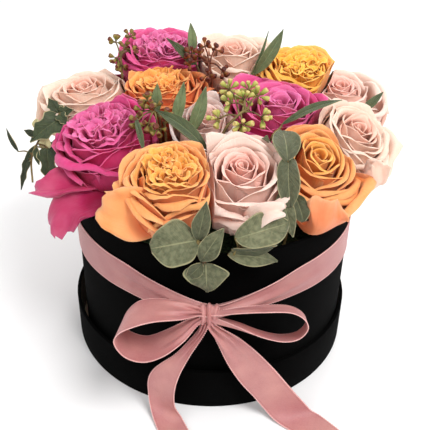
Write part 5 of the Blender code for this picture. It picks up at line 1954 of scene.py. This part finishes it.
# %% The loops and tails
# For each: the points of its middle line, and at each point the way across it and its width; how
# it is held; and where it is gathered.
BOW_SEED = 60
TAIL_ARCH = 0.25
TABLE_CLEARANCE = 0.5
BOW = {
    "bow_loop_left": (
        [(-3, -106.5, 86), (-9.3, -108.5, 89), (-20, -113, 93.5), (-33, -115, 95.5),
         (-45, -115, 92.5), (-54.5, -115, 85), (-58, -115, 75.5), (-53, -115, 67), (-42, -115, 63),
         (-30, -114, 67), (-18, -112, 75), (-9.3, -108.5, 81), (-3, -106.5, 83)],
        [(0, 1, 0.8), (0, 1, 0.7), (0, 1, 0.2), (0, 1, 0), (0, 1, 0), (0.1, 1, -0.1),
         (0.1, 1, -0.2), (0, 1, 0), (0, 1, 0), (0, 1, 0.1), (0, 1, 0.3), (0, 1, 0.7),
         (0, 1, 0.8)],
        [5, 6, 15, 22, 24, 24, 24, 24, 24, 22, 15, 6, 5], "folded", [(0.0, 0.3), (1.0, 0.3)]),
    "bow_loop_right": (
        [(0, -106.5, 86), (5.3, -108.5, 88), (16, -112.5, 94), (32, -115, 98), (47, -116, 99),
         (56, -116, 94), (59, -116, 86), (54, -116, 78), (44, -116, 75.5), (30, -115, 78),
         (17, -112.5, 81.5), (5.3, -108.5, 82), (0, -106.5, 83)],
        [(0, 1, -0.8), (0, 1, -0.7), (0.05, 1, -0.55), (0.05, 1, -0.52), (0.05, 1, -0.55),
         (0.08, 1, -0.58), (0.08, 1, -0.6), (0.05, 1, -0.6), (0, 1, -0.58), (0, 1, -0.55),
         (0, 1, -0.55), (0, 1, -0.7), (0, 1, -0.8)],
        [5, 6, 13, 19, 22, 23, 23, 23, 22, 19, 13, 6, 5], "folded", [(0.0, 0.4), (1.0, 0.4)]),
    "ribbon_tail_left": (
        [(-4, -107.5, 79), (-6.3, -109.2, 73.2), (-14, -111, 62), (-23, -111.5, 50),
         (-29.5, -111.5, 38), (-32.5, -111.5, 26), (-32.5, -111.5, 14), (-30.5, -114, 5.5),
         (-27, -121, 1.4), (-21, -134, 0.8), (-14, -150, 0.8), (-8, -164, 0.8)],
        [(0.9, 0.1, 0.5), (0.9, 0.1, 0.5), (0.85, 0.1, 0.5), (0.85, -0.2, 0.4), (0.82, -0.4, 0.2),
         (0.8, -0.45, 0), (0.82, -0.42, -0.1), (0.95, -0.2, 0), (1, 0.2, 0), (1, 0.45, 0),
         (1, 0.45, 0), (1, 0.45, 0)],
        [6, 8, 15, 20, 21, 21, 21, 20, 19, 19, 20, 21], "hung", [(0.0, 0.35)]),
    "ribbon_tail_right": (
        [(0, -107, 80), (2, -108.3, 75.8), (12, -111.5, 66), (21, -112, 53), (31, -112, 38),
         (41, -112, 24), (50, -112, 11), (58, -114.5, 3), (67, -120, 1.0), (80, -134, 0.8),
         (92, -149, 0.8), (102, -163, 0.8)],
        [(0.5, -0.1, 0.6), (0.5, -0.1, 0.6), (0.75, 0, 0.6), (0.82, 0, 0.56), (0.82, 0, 0.56),
         (0.85, 0, 0.5), (0.9, 0.1, 0.4), (0.9, 0.4, 0.1), (0.8, 0.6, 0), (0.78, 0.63, 0),
         (0.8, 0.6, 0), (0.8, 0.6, 0)],
        [6, 8, 16, 22, 25, 25, 25, 25, 25, 25, 25, 25], "hung", [(0.0, 0.35)]),
}
for index, (node, (middle, across, widths, held, fade)) in enumerate(BOW.items()):
    arch = TAIL_ARCH if "tail" in node else 0.0
    sheet, run = ribbon_points(middle, across, widths, fade, arch, BOW_SEED + index)
    sheet[..., 2] = np.maximum(sheet[..., 2], TABLE_CLEARANCE)
    finish_ribbon("satin_" + node, sheet, run, node)

# %% The knot
KNOT_CENTRE = vec(-2.0, -105.6, 84.5)
KNOT_HALF = (6.2, 3.9, 7.4)
KNOT_STEPS = 48
KNOT_PLEAT = 1.15
KNOT_SMALL_PLEAT = 0.35
KNOT_WAIST = 0.16
KNOT_PINCH = 0.12


def knot_points():
    """A short wrap of ribbon round the gathered middle, pleated along its length."""
    u = np.linspace(-1, 1, RIBBON_COLUMNS)[:, None]
    turn = np.linspace(0, 2 * math.pi, KNOT_STEPS + 1)[None]
    pleats = KNOT_PLEAT * np.sin(u * 9.4 + 0.6) + KNOT_SMALL_PLEAT * np.sin(u * 15 + turn)
    waist = 1 - KNOT_WAIST * np.abs(u) ** 2.5
    half = KNOT_HALF[0] * (1 - KNOT_PINCH * np.cos(2 * turn))
    sheet = np.stack([KNOT_CENTRE[0] + half * u + 0 * turn,
                      KNOT_CENTRE[1] - (KNOT_HALF[1] + pleats) * waist * np.cos(turn),
                      KNOT_CENTRE[2] + (KNOT_HALF[2] + pleats) * waist * np.sin(turn)], axis=-1)
    length = math.pi * math.sqrt(2 * (KNOT_HALF[1] ** 2 + KNOT_HALF[2] ** 2))
    return sheet, np.linspace(0, length, KNOT_STEPS + 1)


knot_sheet, knot_run = knot_points()
finish_ribbon("satin_knot", knot_sheet, knot_run, "ribbon_knot")

# %% [markdown]
# ## Table, light and camera
# The photograph is a product shot on white: a broad soft light from above and in front, and a
# pale floor. The camera stands where the photographer did, found from the ellipses of the box's
# rim and lid.

# %% The floor
FLOOR_HALF = 3.0


def make_floor():
    material = cloudy_material("pale_floor", 0.9, 6.0, (0.93, 0.93, 0.93, 1),
                               (0.91, 0.91, 0.91, 1), 1.0, specular=0.1)
    mesh = bpy.data.meshes.new("floor")
    corners = [(-FLOOR_HALF, -FLOOR_HALF, 0), (FLOOR_HALF, -FLOOR_HALF, 0),
               (FLOOR_HALF, FLOOR_HALF, 0), (-FLOOR_HALF, FLOOR_HALF, 0)]
    mesh.from_pydata(corners, [], [(0, 1, 2, 3)])
    floor = new_piece("floor", mesh, material)


make_floor()
print("floor:", 2 * FLOOR_HALF, "m wide")

# %% The lights
AIM = (0.0, 0.0, 0.12)
SKY_STRENGTH = 0.75


def soft_light(name, at, size, power):
    """A round soft light. Its place and size are in metres and its power in watts."""
    data = bpy.data.lights.new(name, "AREA")
    data.shape = "DISK"
    data.size = size
    data.energy = power
    light = bpy.data.objects.new(name, data)
    light.location = at
    light.rotation_euler = (Vector(AIM) - Vector(at)).to_track_quat("-Z", "Y").to_euler()
    scene.collection.objects.link(light)
    print(name, "at", at, "with", power, "watts")


soft_light("key_light", (0.50, -0.60, 1.1), size=0.6, power=12)
soft_light("fill_light", (-0.9, -0.7, 0.7), size=0.9, power=2.5)
soft_light("back_light", (0.2, 0.9, 0.9), size=0.8, power=5)
scene.view_settings.view_transform = "Standard"
world = bpy.data.worlds.new("studio")
world.use_nodes = True
world.node_tree.nodes["Background"].inputs["Color"].default_value = (1, 1, 1, 1)
world.node_tree.nodes["Background"].inputs["Strength"].default_value = SKY_STRENGTH
scene.world = world

# %% The camera
# Its place is in millimetres and its three turns are in radians.
CAMERA_AT = vec(0.0, -433.7, 367.0)
CAMERA_YAW = 0.0025
CAMERA_PITCH = 0.565
CAMERA_ROLL = 0.022
FOCAL_PIXELS = 678.7
FRAME_PIXELS = 430
SENSOR = 36.0
NEAREST = 0.01

ahead = vec(math.sin(CAMERA_YAW) * math.cos(CAMERA_PITCH),
            math.cos(CAMERA_YAW) * math.cos(CAMERA_PITCH), -math.sin(CAMERA_PITCH))
right = unit(np.cross(ahead, vec(0, 0, 1)))
up = np.cross(right, ahead)
rolled_right = math.cos(CAMERA_ROLL) * right + math.sin(CAMERA_ROLL) * up
rolled_up = math.cos(CAMERA_ROLL) * up - math.sin(CAMERA_ROLL) * right
camera_data = bpy.data.cameras.new("camera")
camera_data.sensor_width = SENSOR
camera_data.lens = FOCAL_PIXELS / FRAME_PIXELS * SENSOR
camera_data.clip_start = NEAREST
camera = bpy.data.objects.new("camera", camera_data)
turn = Matrix([rolled_right, rolled_up, -ahead]).transposed().to_4x4()
camera.matrix_world = Matrix.Translation(Vector(CAMERA_AT * MM)) @ turn
scene.collection.objects.link(camera)
scene.camera = camera
print("camera lens:", round(camera_data.lens, 1), "mm")
